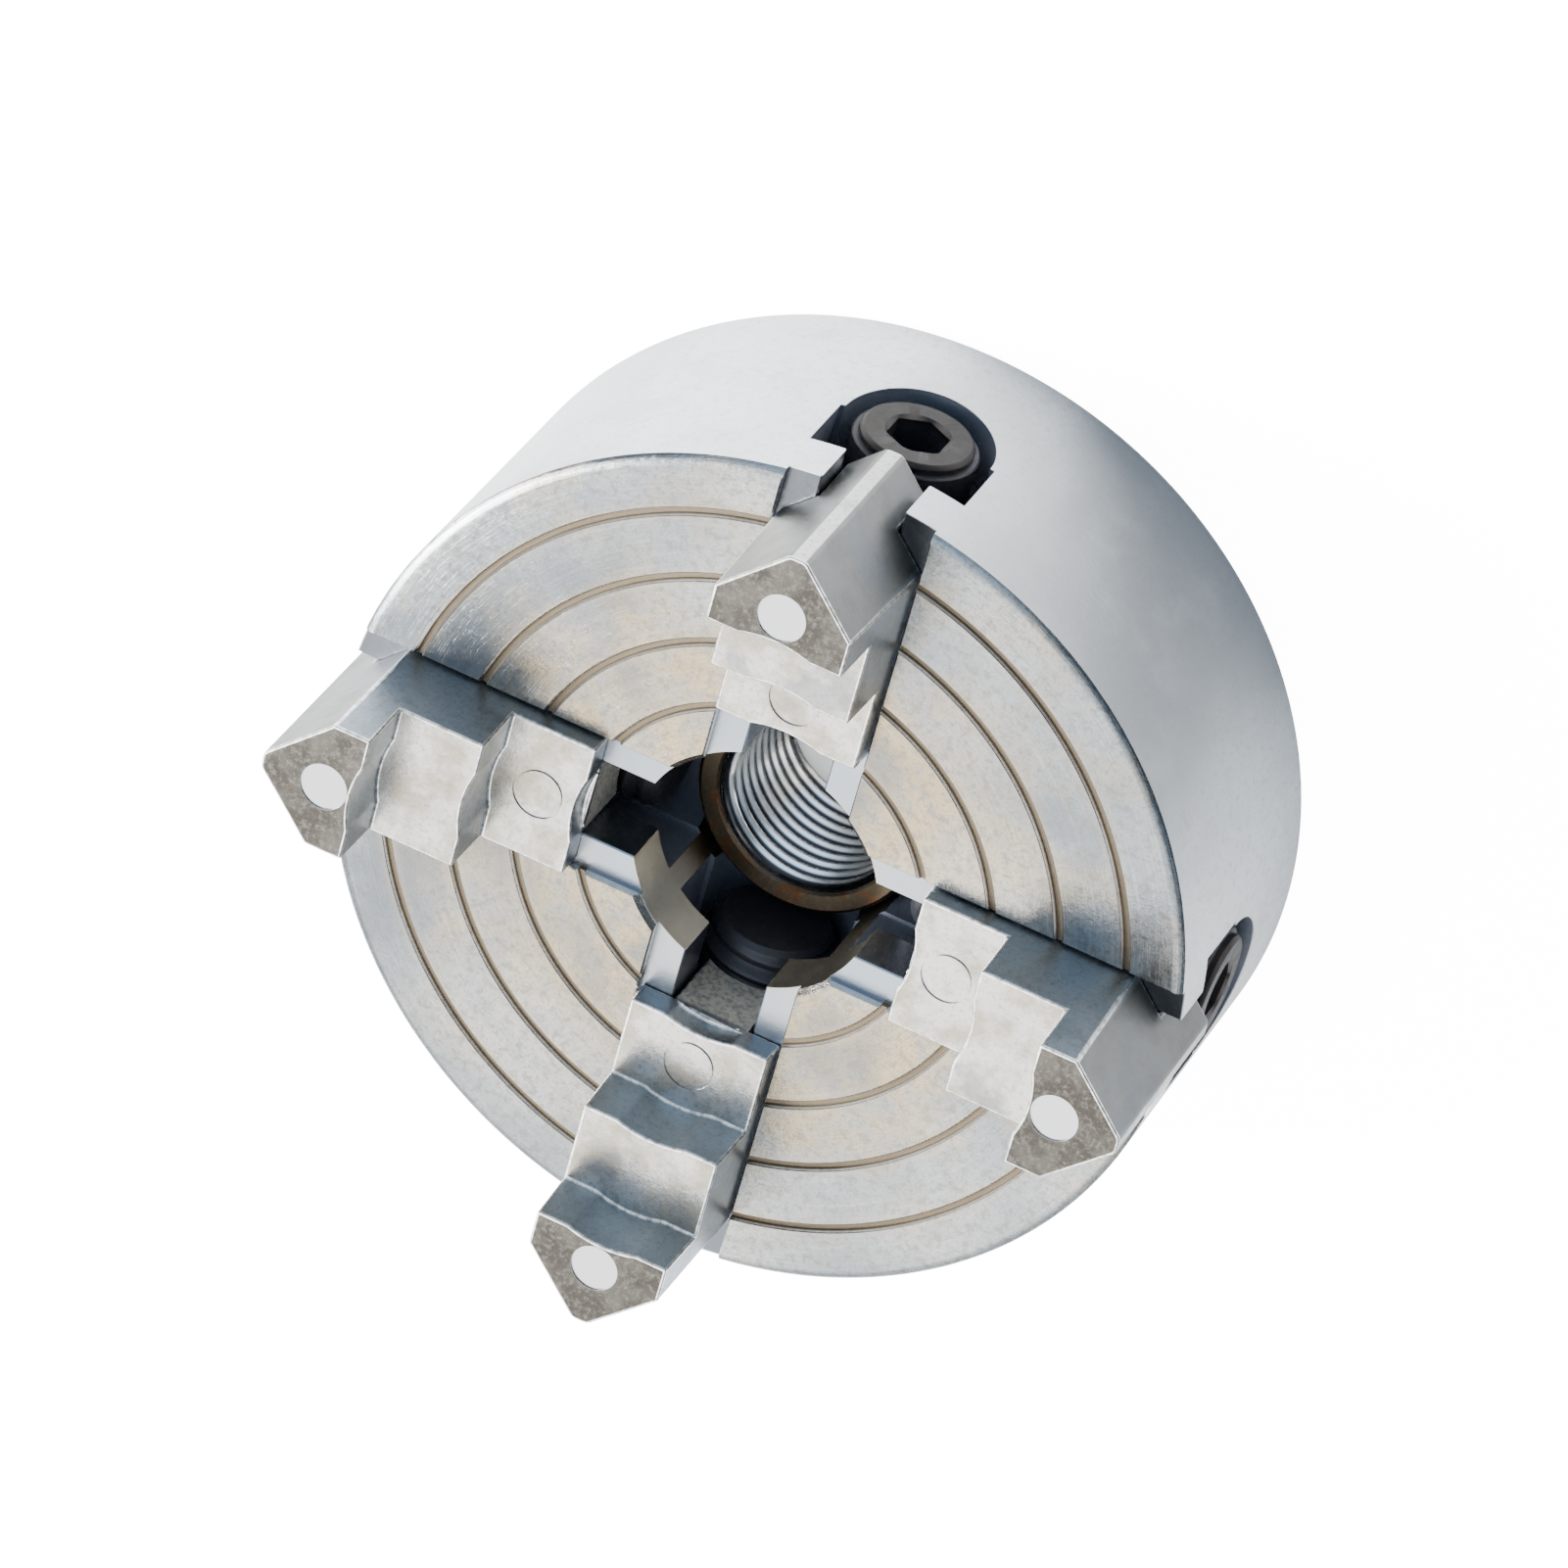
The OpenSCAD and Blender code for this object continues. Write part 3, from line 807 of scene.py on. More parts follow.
def dress(
    piece: bpy.types.Object, finishes: Sequence[Finish], body: str, slot: str, *nodes: str
) -> bpy.types.Object:
    """Gives a finished piece its shading and finishes, and puts it on its body in place of its nodes.

    Args:
        piece: the piece.
        finishes: one finish for each of its material slots.
        body: the CAD body that it moves with.
        slot: a material slot name; not used.
        nodes: the CAD nodes that it stands for.

    Returns:
        The same piece.
    """
    mesh = piece.data
    indices = [polygon.material_index for polygon in mesh.polygons]
    mesh.materials.clear()
    for finish in finishes:
        mesh.materials.append(finish.material())
    mesh.polygons.foreach_set("material_index", [min(i, len(finishes) - 1) for i in indices])
    mesh.shade_smooth()
    mesh.set_sharp_from_angle(angle=math.radians(25))
    modifier = piece.modifiers.new("even_shading", "WEIGHTED_NORMAL")
    modifier.keep_sharp = True
    mesh = bake(piece).data
    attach(piece, body)
    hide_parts(*nodes)
    LOG.info("%s: %d faces on %s", piece.name, len(mesh.polygons), body)
    return piece


@dataclass(frozen=True)
class Ring:
    """A ring of points of a turned piece: round, or a hexagon by its half width across flats."""

    radius: float
    height: float
    hexagon: bool = False

    def point(self, angle: float) -> Vector:
        """The ring's point at an angle.

        Args:
            angle: the angle about Z, in radians.

        Returns:
            The point.
        """
        reach = self.radius
        if self.hexagon:
            reach /= math.cos(math.remainder(angle, math.pi / 3))
        return Vector((reach * math.cos(angle), reach * math.sin(angle), self.height))


def turned(rings: Sequence[Ring], segments: int, closed: bool) -> bmesh.types.BMesh:
    """Turns a profile about Z.

    Args:
        rings: the profile's rings in order. A radius of 0 is a pole.
        segments: how many steps there are round the axis.
        closed: whether the last ring joins the first.

    Returns:
        The turned shape.
    """
    shape = bmesh.new()
    angles = [2 * math.pi * k / segments for k in range(segments)]
    rows = []
    for ring in rings:
        count = 1 if ring.radius == 0 else segments
        rows.append([shape.verts.new(ring.point(angle)) for angle in angles[:count]])
    pairs = list(zip(rows, rows[1:] + rows[:1] if closed else rows[1:]))
    for low, high in pairs:
        for k in range(segments):
            n = (k + 1) % segments
            corners = [low[k % len(low)], low[n % len(low)], high[n % len(high)], high[k % len(high)]]
            unique = list(dict.fromkeys(corners))
            if len(unique) > 2:
                shape.faces.new(unique)
    return shape


def prism(outline: Sequence[Point2], low: float, high: float) -> bmesh.types.BMesh:
    """Extrudes a flat outline along Z.

    Args:
        outline: its corners in order, without crossings.
        low: the Z of its bottom.
        high: the Z of its top.

    Returns:
        The prism.
    """
    shape = bmesh.new()
    bottom = [shape.verts.new((x, y, low)) for x, y in outline]
    top = [shape.verts.new((x, y, high)) for x, y in outline]
    shape.faces.new(bottom[::-1])
    shape.faces.new(top)
    for k in range(len(outline)):
        n = (k + 1) % len(outline)
        shape.faces.new((bottom[k], bottom[n], top[n], top[k]))
    return shape


def arc(centre: Point2, radius: float, start: float, end: float, steps: int) -> list[Point2]:
    """Points along an arc.

    Args:
        centre: the arc's centre.
        radius: its radius.
        start: its first angle in degrees.
        end: its last angle in degrees.
        steps: how many steps there are along it.

    Returns:
        The points, both ends included.
    """
    angles = [math.radians(start + (end - start) * k / steps) for k in range(steps + 1)]
    return [(centre[0] + radius * math.cos(a), centre[1] + radius * math.sin(a)) for a in angles]


def circle(centre: Point2, radius: float) -> list[Point2]:
    """The 24 points of a small hole's outline, from +X anticlockwise."""
    return arc(centre, radius, 0, 345, 23)


def rounded(corners: Sequence[tuple[float, float, float]], steps: int = 6) -> list[Point2]:
    """Rounds the corners of an outline.

    Args:
        corners: x, y and rounding radius of each corner in order.
        steps: how many steps there are round a corner.

    Returns:
        The outline's points.
    """
    points: list[Point2] = []
    for k, (x, y, radius) in enumerate(corners):
        here = Vector((x, y))
        back = (Vector(corners[k - 1][:2]) - here).normalized()
        ahead = (Vector(corners[(k + 1) % len(corners)][:2]) - here).normalized()
        if radius <= 0:
            points.append((x, y))
            continue
        half = back.angle(ahead) / 2
        centre = here + (back + ahead).normalized() * (radius / math.sin(half))
        first = here + back * (radius / math.tan(half)) - centre
        last = here + ahead * (radius / math.tan(half)) - centre
        sweep = first.angle_signed(last)
        for step in range(steps + 1):
            turn = Matrix.Rotation(-sweep * step / steps, 2)
            spot = centre + turn @ first
            points.append((spot.x, spot.y))
    return points


LYING = Matrix(((0, 0, 1, 0), (1, 0, 0, 0), (0, 1, 0, 0), (0, 0, 0, 1)))
SIDEWAYS = Matrix(((1, 0, 0, 0), (0, 0, -1, 0), (0, 1, 0, 0), (0, 0, 0, 1)))


class Thread:
    """A screw thread's sleeve, made by one Geometry Nodes tree with named inputs.

    The rows of the sleeve follow the thread, so its crests stay straight. Both ends run out to the
    root radius, and so a turned piece with as many segments joins on without a seam.
    """

    ROWS_PER_TURN = 10
    INPUTS = ("Root", "Crest", "Pitch", "Start", "Length", "Hand")
    _tree: bpy.types.NodeTree | None = None

    def __init__(self, segments: int) -> None:
        """Chooses how fine the sleeve is.

        Args:
            segments: how many steps there are round the axis.
        """
        self.segments = segments

    @classmethod
    def tree(cls) -> bpy.types.NodeTree:
        """Builds the tree once.

        Returns:
            The tree.
        """
        if cls._tree:
            return cls._tree
        tree = bpy.data.node_groups.new("thread_sleeve", "GeometryNodeTree")
        tree.interface.new_socket("Geometry", in_out="INPUT", socket_type="NodeSocketGeometry")
        for name in cls.INPUTS:
            tree.interface.new_socket(name, in_out="INPUT", socket_type="NodeSocketFloat")
        for name in ("Segments", "Turns"):
            tree.interface.new_socket(name, in_out="INPUT", socket_type="NodeSocketInt")
        tree.interface.new_socket("Finish", in_out="INPUT", socket_type="NodeSocketMaterial")
        tree.interface.new_socket("Geometry", in_out="OUTPUT", socket_type="NodeSocketGeometry")
        graph = Graph(tree)
        source = graph.node("NodeGroupInput")
        names = (*cls.INPUTS, "Segments", "Turns")
        given = {name: Signal(graph, source.outputs[name]) for name in names}

        across = given["Segments"] + 1.0
        rows = given["Turns"] * float(cls.ROWS_PER_TURN) + 1.0
        sizes = {"Size X": 1.0, "Size Y": 1.0, "Vertices X": across, "Vertices Y": rows}
        grid = graph.node("GeometryNodeMeshGrid", None, sizes)
        place = graph.node("GeometryNodeInputPosition")
        flat = graph.node("ShaderNodeSeparateXYZ", None, {0: place.outputs[0]})
        turn = Signal(graph, flat.outputs[0]) + 0.5
        wound = (Signal(graph, flat.outputs[1]) + 0.5) * given["Turns"]

        lead = given["Hand"] * turn - (1.0 + given["Hand"]) / 2.0
        end = given["Start"] + given["Length"]
        height = given["Start"] + given["Pitch"] * (wound + lead)
        height = height.most(given["Start"]).least(end)
        phase = ((height - given["Start"]) / given["Pitch"] - lead) % 1.0
        tooth = 1.0 - abs(2.0 * phase - 1.0)
        tooth = ((tooth - 0.12) / 0.76).most(0.0).least(1.0)
        fade = (height - given["Start"]).least(end - height) / (0.8 * given["Pitch"])
        radius = given["Root"] + (given["Crest"] - given["Root"]) * tooth * fade.least(1.0)

        angle = turn * (2 * math.pi)
        x = radius * graph.maths("COSINE", angle)
        y = radius * graph.maths("SINE", angle)
        moved = graph.node(
            "GeometryNodeSetPosition",
            None,
            {"Geometry": grid.outputs["Mesh"], "Position": graph.vector(x, y, height)},
        )
        merged = graph.node(
            "GeometryNodeMergeByDistance",
            None,
            {"Geometry": moved.outputs[0], "Distance": 0.0005 * MM},
        )
        real = graph.node("GeometryNodeRealizeInstances", None, {0: merged.outputs[0]})
        painted = graph.node(
            "GeometryNodeSetMaterial",
            None,
            {"Geometry": real.outputs[0], "Material": source.outputs["Finish"]},
        )
        graph.node("NodeGroupOutput", None, {0: painted.outputs[0]})
        cls._tree = tree
        return tree

    def sleeve(
        self, root: float, crest: float, pitch: float, start: float, length: float, hand: int,
        finish: Finish,
    ) -> bmesh.types.BMesh:
        """Makes one sleeve about Z.

        Args:
            root: the radius at the thread's root, and at both ends.
            crest: the radius at the thread's crest, smaller than root in a bore.
            pitch: the thread's pitch.
            start: the Z at which the sleeve starts.
            length: the sleeve's length.
            hand: 1 for a right-hand thread and -1 for a left-hand one.
            finish: the finish that the tree sets.

        Returns:
            The sleeve, open at both ends.
        """
        tree = self.tree()
        holder = add_object("thread_holder", bpy.data.meshes.new("thread_holder"))
        modifier = holder.modifiers.new("thread", "NODES")
        modifier.node_group = tree
        values = {
            "Root": root, "Crest": crest, "Pitch": pitch, "Start": start, "Length": length,
            "Hand": float(hand), "Segments": self.segments,
            "Turns": math.ceil(length / pitch) + 1, "Finish": finish.material(),
        }
        for socket in tree.interface.items_tree:
            if socket.in_out == "INPUT" and socket.name in values:
                modifier[socket.identifier] = values[socket.name]
        bake(holder)
        shape = bmesh.new()
        shape.from_mesh(holder.data)
        bpy.data.objects.remove(holder)
        return shape


def join_shapes(first: bmesh.types.BMesh, second: bmesh.types.BMesh) -> bmesh.types.BMesh:
    """Adds one shape to another.

    Args:
        first: the shape to add to.
        second: the shape to add, which is freed.

    Returns:
        The first shape.
    """
    mesh = bpy.data.meshes.new("joined")
    second.to_mesh(mesh)
    second.free()
    first.from_mesh(mesh)
    bpy.data.meshes.remove(mesh)
    return first


# ---------------------------------------------------------------------------------------------
# The chuck
# ---------------------------------------------------------------------------------------------


class Station(Enum):
    """The four places of the jaws, by their quarter turns from +X."""

    FIRST = 0
    SECOND = 1
    THIRD = 2
    FOURTH = 3

    @property
    def number(self) -> int:
        """The jaw's number."""
        return self.value + 1

    def matrix(self) -> Matrix:
        """Turns a piece drawn on +X to this place."""
        return Matrix.Rotation(math.pi / 2 * self.value, 4, "Z")

    def between(self) -> Matrix:
        """Turns a piece drawn on +X half way from this place to the next."""
        return Matrix.Rotation(math.pi / 2 * (self.value + 0.5), 4, "Z")


@dataclass
class Slots:
    """Sizes of the T slots and screw tunnels that the body, the jaws and the screws share."""

    channel_half: float = 5.65 * MM
    channel_depth: float = 0.9 * MM
    neck_half: float = 3.2 * MM
    rail_depth: float = 5.3 * MM
    cavity_half: float = 5.95 * MM
    tunnel_radius: float = 5.6 * MM
    edge: float = 0.1 * MM


@dataclass
class ChuckBody:
    """The cast drum: grooved face, four T slots, central bore and the recess for its back plate."""

    slots: Slots
    axis_height: float
    plate_radius: float
    plate_thickness: float
    fork_low: Vector
    fork_high: Vector
    fixing_circle: float
    hub_pocket: float
    flange_top: float
    bore_radius: float = 9.3 * MM
    groove_first: float = 13.25 * MM
    groove_pitch: float = 5.0 * MM
    groove_count: int = 4
    groove_half: float = 0.275 * MM
    groove_depth: float = 0.35 * MM
    rim: float = 0.8 * MM
    rim_height: float = 0.45 * MM
    back_rim: float = 0.5 * MM
    mouth: float = 0.4 * MM
    gap: float = 0.05 * MM
    hole_radius: float = 2.05 * MM
    hole_bottom: float = 1 * MM
    hole_top: float = 13 * MM
    segments: int = 240
    radius: float = field(init=False)
    height: float = field(init=False)

    def __post_init__(self) -> None:
        """Reads the drum's size from the frame."""
        low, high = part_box("body")
        self.radius = (high.x - low.x) / 2
        self.height = high.z

    def profile(self) -> list[Ring]:
        """Half section of the drum, from the bore's mouth outwards and round to the bore again.

        Returns:
            The section's rings.
        """
        top = self.height
        edge = self.slots.edge
        rings = [Ring(self.bore_radius, top - self.mouth), Ring(self.bore_radius + self.mouth, top)]
        for k in range(self.groove_count):
            middle = self.groove_first + k * self.groove_pitch
            inner, outer = middle - self.groove_half, middle + self.groove_half
            floor = top - self.groove_depth
            rings += [Ring(inner - edge, top), Ring(inner, top - edge), Ring(inner + edge, floor)]
            rings += [Ring(outer - edge, floor), Ring(outer, top - edge), Ring(outer + edge, top)]
        rings += [
            Ring(self.radius - self.rim, top),
            Ring(self.radius - self.rim * 0.35, top - self.rim_height * 0.4),
            Ring(self.radius, top - self.rim_height),
            Ring(self.radius, self.back_rim),
            Ring(self.radius - self.back_rim, 0.0),
            Ring(self.plate_radius + self.gap + edge, 0.0),
            Ring(self.plate_radius + self.gap, edge),
            Ring(self.plate_radius + self.gap, self.plate_thickness),
            Ring(self.hub_pocket, self.plate_thickness),
            Ring(self.hub_pocket, self.flange_top),
            Ring(self.bore_radius, self.flange_top),
        ]
        return rings

    def slot_outline(self) -> list[Point2]:
        """Cross section of a T slot and its tunnel, X across the slot and Y up.

        Returns:
            The section's points.
        """
        top, cut, edge = self.height, self.slots, self.slots.edge
        floor = top - cut.channel_depth
        rail = top - cut.rail_depth
        right = [
            (cut.channel_half + edge + MM, top + MM),
            (cut.channel_half + edge, top),
            (cut.channel_half, top - edge),
            (cut.channel_half, floor),
            (cut.neck_half + edge, floor),
            (cut.neck_half, floor - edge),
            (cut.neck_half, rail + edge),
            (cut.neck_half + edge, rail),
            (cut.cavity_half, rail),
            (cut.cavity_half, self.axis_height),
        ]
        bottom = arc((0.0, self.axis_height), cut.tunnel_radius, 0.0, -180.0, 40)
        left = [(-x, y) for x, y in reversed(right)]
        return right + bottom + left

    def cutters(self) -> list[bpy.types.Object]:
        """The solids that are cut from the turned drum.

        Returns:
            Four slots, four fork pockets and four fixing holes.
        """
        tools = []
        for station in Station:
            slot = prism(self.slot_outline(), 0.0, self.radius + 2 * PAST)
            slot.transform(station.matrix() @ LYING)
            tools.append(object_from("slot_cutter", slot))
            low, high = self.fork_low, self.fork_high
            corners = [(low.x, low.y), (high.x, low.y), (high.x, high.y), (low.x, high.y)]
            grown = [(x + math.copysign(self.gap, x - (low.x + high.x) / 2),
                      y + math.copysign(self.gap, y)) for x, y in corners]
            pocket = prism(grown, self.plate_thickness - PAST, high.z + self.gap)
            pocket.transform(station.matrix())
            tools.append(object_from("pocket_cutter", pocket))
            outline = circle((self.fixing_circle, 0.0), self.hole_radius)
            hole = prism(outline, self.hole_bottom, self.hole_top)
            hole.transform(station.between())
            tools.append(object_from("hole_cutter", hole))
        return tools

    def build(self) -> bpy.types.Object:
        """Makes the drum.

        Returns:
            The finished piece.
        """
        piece = object_from("drum", turned(self.profile(), self.segments, closed=True))
        combine(piece, self.cutters(), "DIFFERENCE")
        finish = TurnedCasting(
            name="turned_casting",
            height=self.height / MM,
            radius=self.radius / MM,
            groove_first=self.groove_first / MM,
            groove_pitch=self.groove_pitch / MM,
            groove_last=(self.groove_first + (self.groove_count - 1) * self.groove_pitch) / MM,
            rail_depth=self.slots.rail_depth / MM,
            bore_radius=self.bore_radius / MM,
        )
        return dress(piece, [finish], "body", "cast_body", "body")


@dataclass
class Jaw:
    """One cast stepped jaw, with the half nut that its screw drives."""

    station: Station
    slots: Slots
    drum_height: float
    axis_height: float
    thread_pitch: float
    half_width: float = 5.5 * MM
    lean: float = 0.35 * MM
    tread: float = 6.55 * MM
    top_length: float = 2.5 * MM
    first_rise: float = 1.5 * MM
    step_rise: float = 5.0 * MM
    tip_radius: float = 1.5 * MM
    shoulder_radius: float = 0.5 * MM
    hollow_half: float = 2.7 * MM
    hollow_depth: float = 0.45 * MM
    neck_half: float = 3.0 * MM
    flange_half: float = 5.6 * MM
    flange_start: float = 1.7 * MM
    flange_length: float = 11.5 * MM
    flange_thickness: float = 3.0 * MM
    nut_wall: float = 0.8 * MM
    rail_gap: float = 0.08 * MM
    nut_root: float = 5.2 * MM
    nut_crest: float = 4.62 * MM
    mark_radius: float = 1.8 * MM
    mark_depth: float = 0.12 * MM
    mark_line: float = 0.17 * MM
    mark_segments: int = 64
    thread_origin: float = 10 * MM
    tap_overrun: float = 3 * MM
    tap_segments: int = 60
    wear: float = 0.2 * MM
    inner: float = field(init=False)

    def __post_init__(self) -> None:
        """Reads where the jaw's inner face stands from the frame."""
        self.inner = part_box("jaw_1")[0].x

    @property
    def shoulder(self) -> float:
        """Where the straight sides end and the point starts."""
        return self.inner + 2 * self.tread + self.top_length

    @property
    def tip(self) -> float:
        """Where the point's two faces would meet."""
        return self.shoulder + self.half_width

    @property
    def flat(self) -> float:
        """How far the blunt end of the point is cut back, and half its width."""
        return self.tip_radius * (math.sqrt(2) - 1)

    @property
    def foot(self) -> float:
        """The underside of the block, just clear of the channel's floor."""
        return self.drum_height - self.slots.channel_depth + self.rail_gap

    @property
    def top(self) -> float:
        """The height of the jaw's top."""
        return self.drum_height + self.first_rise + 2 * self.step_rise

    def plan(self, half: float) -> list[Point2]:
        """The jaw seen from above.

        Args:
            half: half the width kept, at most the jaw's own.

        Returns:
            The outline's points.
        """
        out = self.tip - half
        corner = self.shoulder_radius if half == self.half_width else 0.0
        corners = [
            (self.inner, -half, 0.0),
            (out, -half, corner),
            (self.tip - self.flat, -self.flat, 0.8 * MM),
            (self.tip - self.flat, self.flat, 0.8 * MM),
            (out, half, corner),
            (self.inner, half, 0.0),
        ]
        return rounded(corners)

    def block(self) -> bpy.types.Object:
        """The stepped block above the rails, with its gripping faces hollowed.

        Returns:
            The block.
        """
        first = self.drum_height + self.first_rise
        second, third = self.inner + self.tread, self.inner + 2 * self.tread
        steps = [
            (self.inner, self.foot), (self.tip + MM, self.foot), (self.tip + MM, self.top),
            (third, self.top), (third, first + self.step_rise),
            (second, first + self.step_rise), (second, first), (self.inner, first),
        ]
        side = prism(steps, -self.half_width - MM, self.half_width + MM)
        side.transform(SIDEWAYS)
        piece = object_from("jaw_block", side)
        outline = object_from("plan", prism(self.plan(self.half_width), self.foot - MM, self.top + MM))
        low, high = self.half_width, self.half_width - self.lean
        sides = prism(
            [(-low, self.foot), (low, self.foot), (high, self.top), (-high, self.top)],
            0.0, self.tip + MM,
        )
        sides.transform(LYING)
        combine(piece, [outline, object_from("sides", sides)], "INTERSECT")
        radius = (self.hollow_half**2 + self.hollow_depth**2) / (2 * self.hollow_depth)
        hollows = []
        for k in range(3):
            face = self.inner + k * self.tread
            low = self.foot - MM if k == 0 else first + (k - 1) * self.step_rise
            circle = arc((face + self.hollow_depth - radius, 0.0), radius, -60, 60, 44)
            shape = prism([*circle, (face - 3 * MM, 0.0)], low, first + k * self.step_rise + MM)
            hollows.append(object_from("hollow", shape))
        return combine(piece, hollows, "DIFFERENCE")

    def foot_part(self) -> list[bpy.types.Object]:
        """The neck between the rails and the flange under them.

        Returns:
            Solids to join to the block.
        """
        neck_low = self.drum_height - self.slots.rail_depth - self.nut_wall
        flange_top = self.drum_height - self.slots.rail_depth - self.rail_gap
        flange_low = flange_top - self.flange_thickness
        start = self.inner + self.flange_start
        end = start + self.flange_length
        inside = self.foot + 0.4 * MM
        neck = prism(self.plan(self.neck_half), neck_low, inside)
        web = prism(
            [(self.inner, -self.neck_half), (end, -self.neck_half), (end, self.neck_half),
             (self.inner, self.neck_half)],
            flange_low, inside,
        )
        flange = prism(
            [(start, -self.flange_half), (end, -self.flange_half), (end, self.flange_half),
             (start, self.flange_half)],
            flange_low, flange_top,
        )
        return [object_from("foot", shape) for shape in (neck, web, flange)]

    def tap(self, finish: Finish) -> bpy.types.Object:
        """The left-hand threaded rod that cuts the half nut.

        Args:
            finish: the finish of what it cuts.

        Returns:
            The rod, along +X at the height of the screws.
        """
        start = self.inner - self.tap_overrun
        length = self.tip - self.inner + 2 * self.tap_overrun
        turns = round((start - self.thread_origin) / self.thread_pitch)
        start = self.thread_origin + turns * self.thread_pitch
        sleeve = Thread(self.tap_segments).sleeve(
            self.nut_root, self.nut_crest, self.thread_pitch, start, length, -1, finish
        )
        ends = [Ring(0.0, start), Ring(self.nut_root, start)]
        more = [Ring(self.nut_root, start + length), Ring(0.0, start + length)]
        shape = join_shapes(sleeve, turned(ends, self.tap_segments, closed=False))
        shape = join_shapes(shape, turned(more, self.tap_segments, closed=False))
        shape.transform(Matrix.Translation((0, 0, self.axis_height)) @ LYING)
        return object_from("tap", shape)

    def marks(self) -> list[bpy.types.Object]:
        """The shallow round marks left by the mould's ejector pins.

        Returns:
            Solids to cut from the jaw.
        """
        first = self.drum_height + self.first_rise
        centre = Matrix.Translation((self.shoulder, 0, 0))
        disc = turned(
            [Ring(0.0, self.top - self.mark_depth), Ring(self.mark_radius, self.top - self.mark_depth),
             Ring(self.mark_radius, self.top + PAST), Ring(0.0, self.top + PAST)],
            self.mark_segments, closed=False,
        )
        disc.transform(centre)
        inner, outer = self.mark_radius, self.mark_radius + self.mark_line
        low, high = first - self.mark_depth, first + PAST
        groove = turned(
            [Ring(inner, low), Ring(outer, low), Ring(outer, high), Ring(inner, high)],
            self.mark_segments, closed=True,
        )
        groove.transform(Matrix.Translation((self.inner + self.tread / 2, 0, 0)))
        return [object_from("mark", shape) for shape in (disc, groove)]

    def build(self) -> bpy.types.Object:
        """Makes the jaw.

        Returns:
            The finished piece.
        """
        piece = combine(self.block(), self.foot_part(), "UNION")
        dissolve(piece)
        piece.name = f"stepped_jaw_{self.station.number}"
        piece.data.materials.clear()
        casting = JawCasting(
            name="jaw_casting",
            top=self.top / MM,
            foot=self.foot / MM,
            inner=self.inner / MM,
            mark_along=self.shoulder / MM,
            mark_radius=self.mark_radius / MM,
            nose=(self.tip - self.flat) / MM,
        )
        finishes = [casting, WornAndHighlitEdge("worn_and_highlit_edge")]
        for finish in finishes:
            piece.data.materials.append(finish.material())
        soften(piece, self.wear, slot=1)
        combine(piece, [self.tap(casting), *self.marks()], "DIFFERENCE")
        piece.data.transform(self.station.matrix())
        node = f"jaw_{self.station.number}"
        return dress(piece, finishes, node, "cast_jaw", node)


@dataclass
class JawScrew:
    """One black jaw screw: left-hand thread, neck for its fork and a head with a hex socket."""

    station: Station
    axis_height: float
    pitch: float
    start: float
    end: float
    fork_inner: float
    fork_outer: float
    crest: float = 5.0 * MM
    root: float = 4.35 * MM
    neck: float = 2.9 * MM
    head: float = 4.6 * MM
    nose: float = 4.15 * MM
    nose_length: float = 0.7 * MM
    socket_half: float = 2.0 * MM
    socket_depth: float = 3.6 * MM
    socket_tip: float = 0.6 * MM
    lead_in: float = 0.4 * MM
    relief: float = 0.2 * MM
    gap: float = 0.05 * MM
    edge: float = 0.12 * MM
    nose_edge: float = 0.3 * MM
    rub_start: float = 0.9 * MM
    rub_end: float = 0.2 * MM
    segments: int = 72

    def build(self) -> bpy.types.Object:
        """Makes the screw.

        Returns:
            The finished piece.
        """
        rubbed = [(self.end - behind) / MM for behind in (self.rub_start, self.rub_end)]
        oxide = BlackOxide("oxide_screw", *rubbed)
        first = self.start + self.lead_in
        last = self.fork_inner - self.gap - self.relief
        sleeve = Thread(self.segments).sleeve(
            self.root, self.crest, self.pitch, first, last - first, -1, oxide
        )
        tail = [
            Ring(0.0, self.start), Ring(self.root - self.lead_in, self.start), Ring(self.root, first)
        ]
        head_start = self.fork_outer + self.gap
        nose_start = self.end - self.nose_length
        front = [
            Ring(self.root, last),
            Ring(self.root - self.relief, last + self.relief),
            Ring(self.neck, last + self.relief),
            Ring(self.neck, head_start),
            Ring(self.head - self.edge, head_start),
            Ring(self.head, head_start + self.edge),
            Ring(self.head, nose_start - self.edge),
            Ring(self.head - self.edge, nose_start),
            Ring(self.nose, nose_start),
            Ring(self.nose, self.end - self.nose_edge),
            Ring(self.nose - self.edge, self.end - self.edge),
            Ring(self.nose - self.nose_edge, self.end),
            Ring(self.socket_half * 1.16 + self.edge, self.end),
            Ring(self.socket_half, self.end - self.relief, hexagon=True),
            Ring(self.socket_half, self.end - self.socket_depth, hexagon=True),
            Ring(self.socket_half * 0.8, self.end - self.socket_depth),
            Ring(0.0, self.end - self.socket_depth - self.socket_tip),
        ]
        shape = join_shapes(sleeve, turned(tail, self.segments, closed=False))
        shape = join_shapes(shape, turned(front, self.segments, closed=False))
        shape.transform(
            self.station.matrix()
            @ Matrix.Translation((0, 0, self.axis_height))
            @ LYING
        )
        number = self.station.number
        piece = object_from(f"drive_screw_{number}", shape)
        node = f"jaw_screw_{number}"
        return dress(piece, [oxide], node, "black_screw", node)


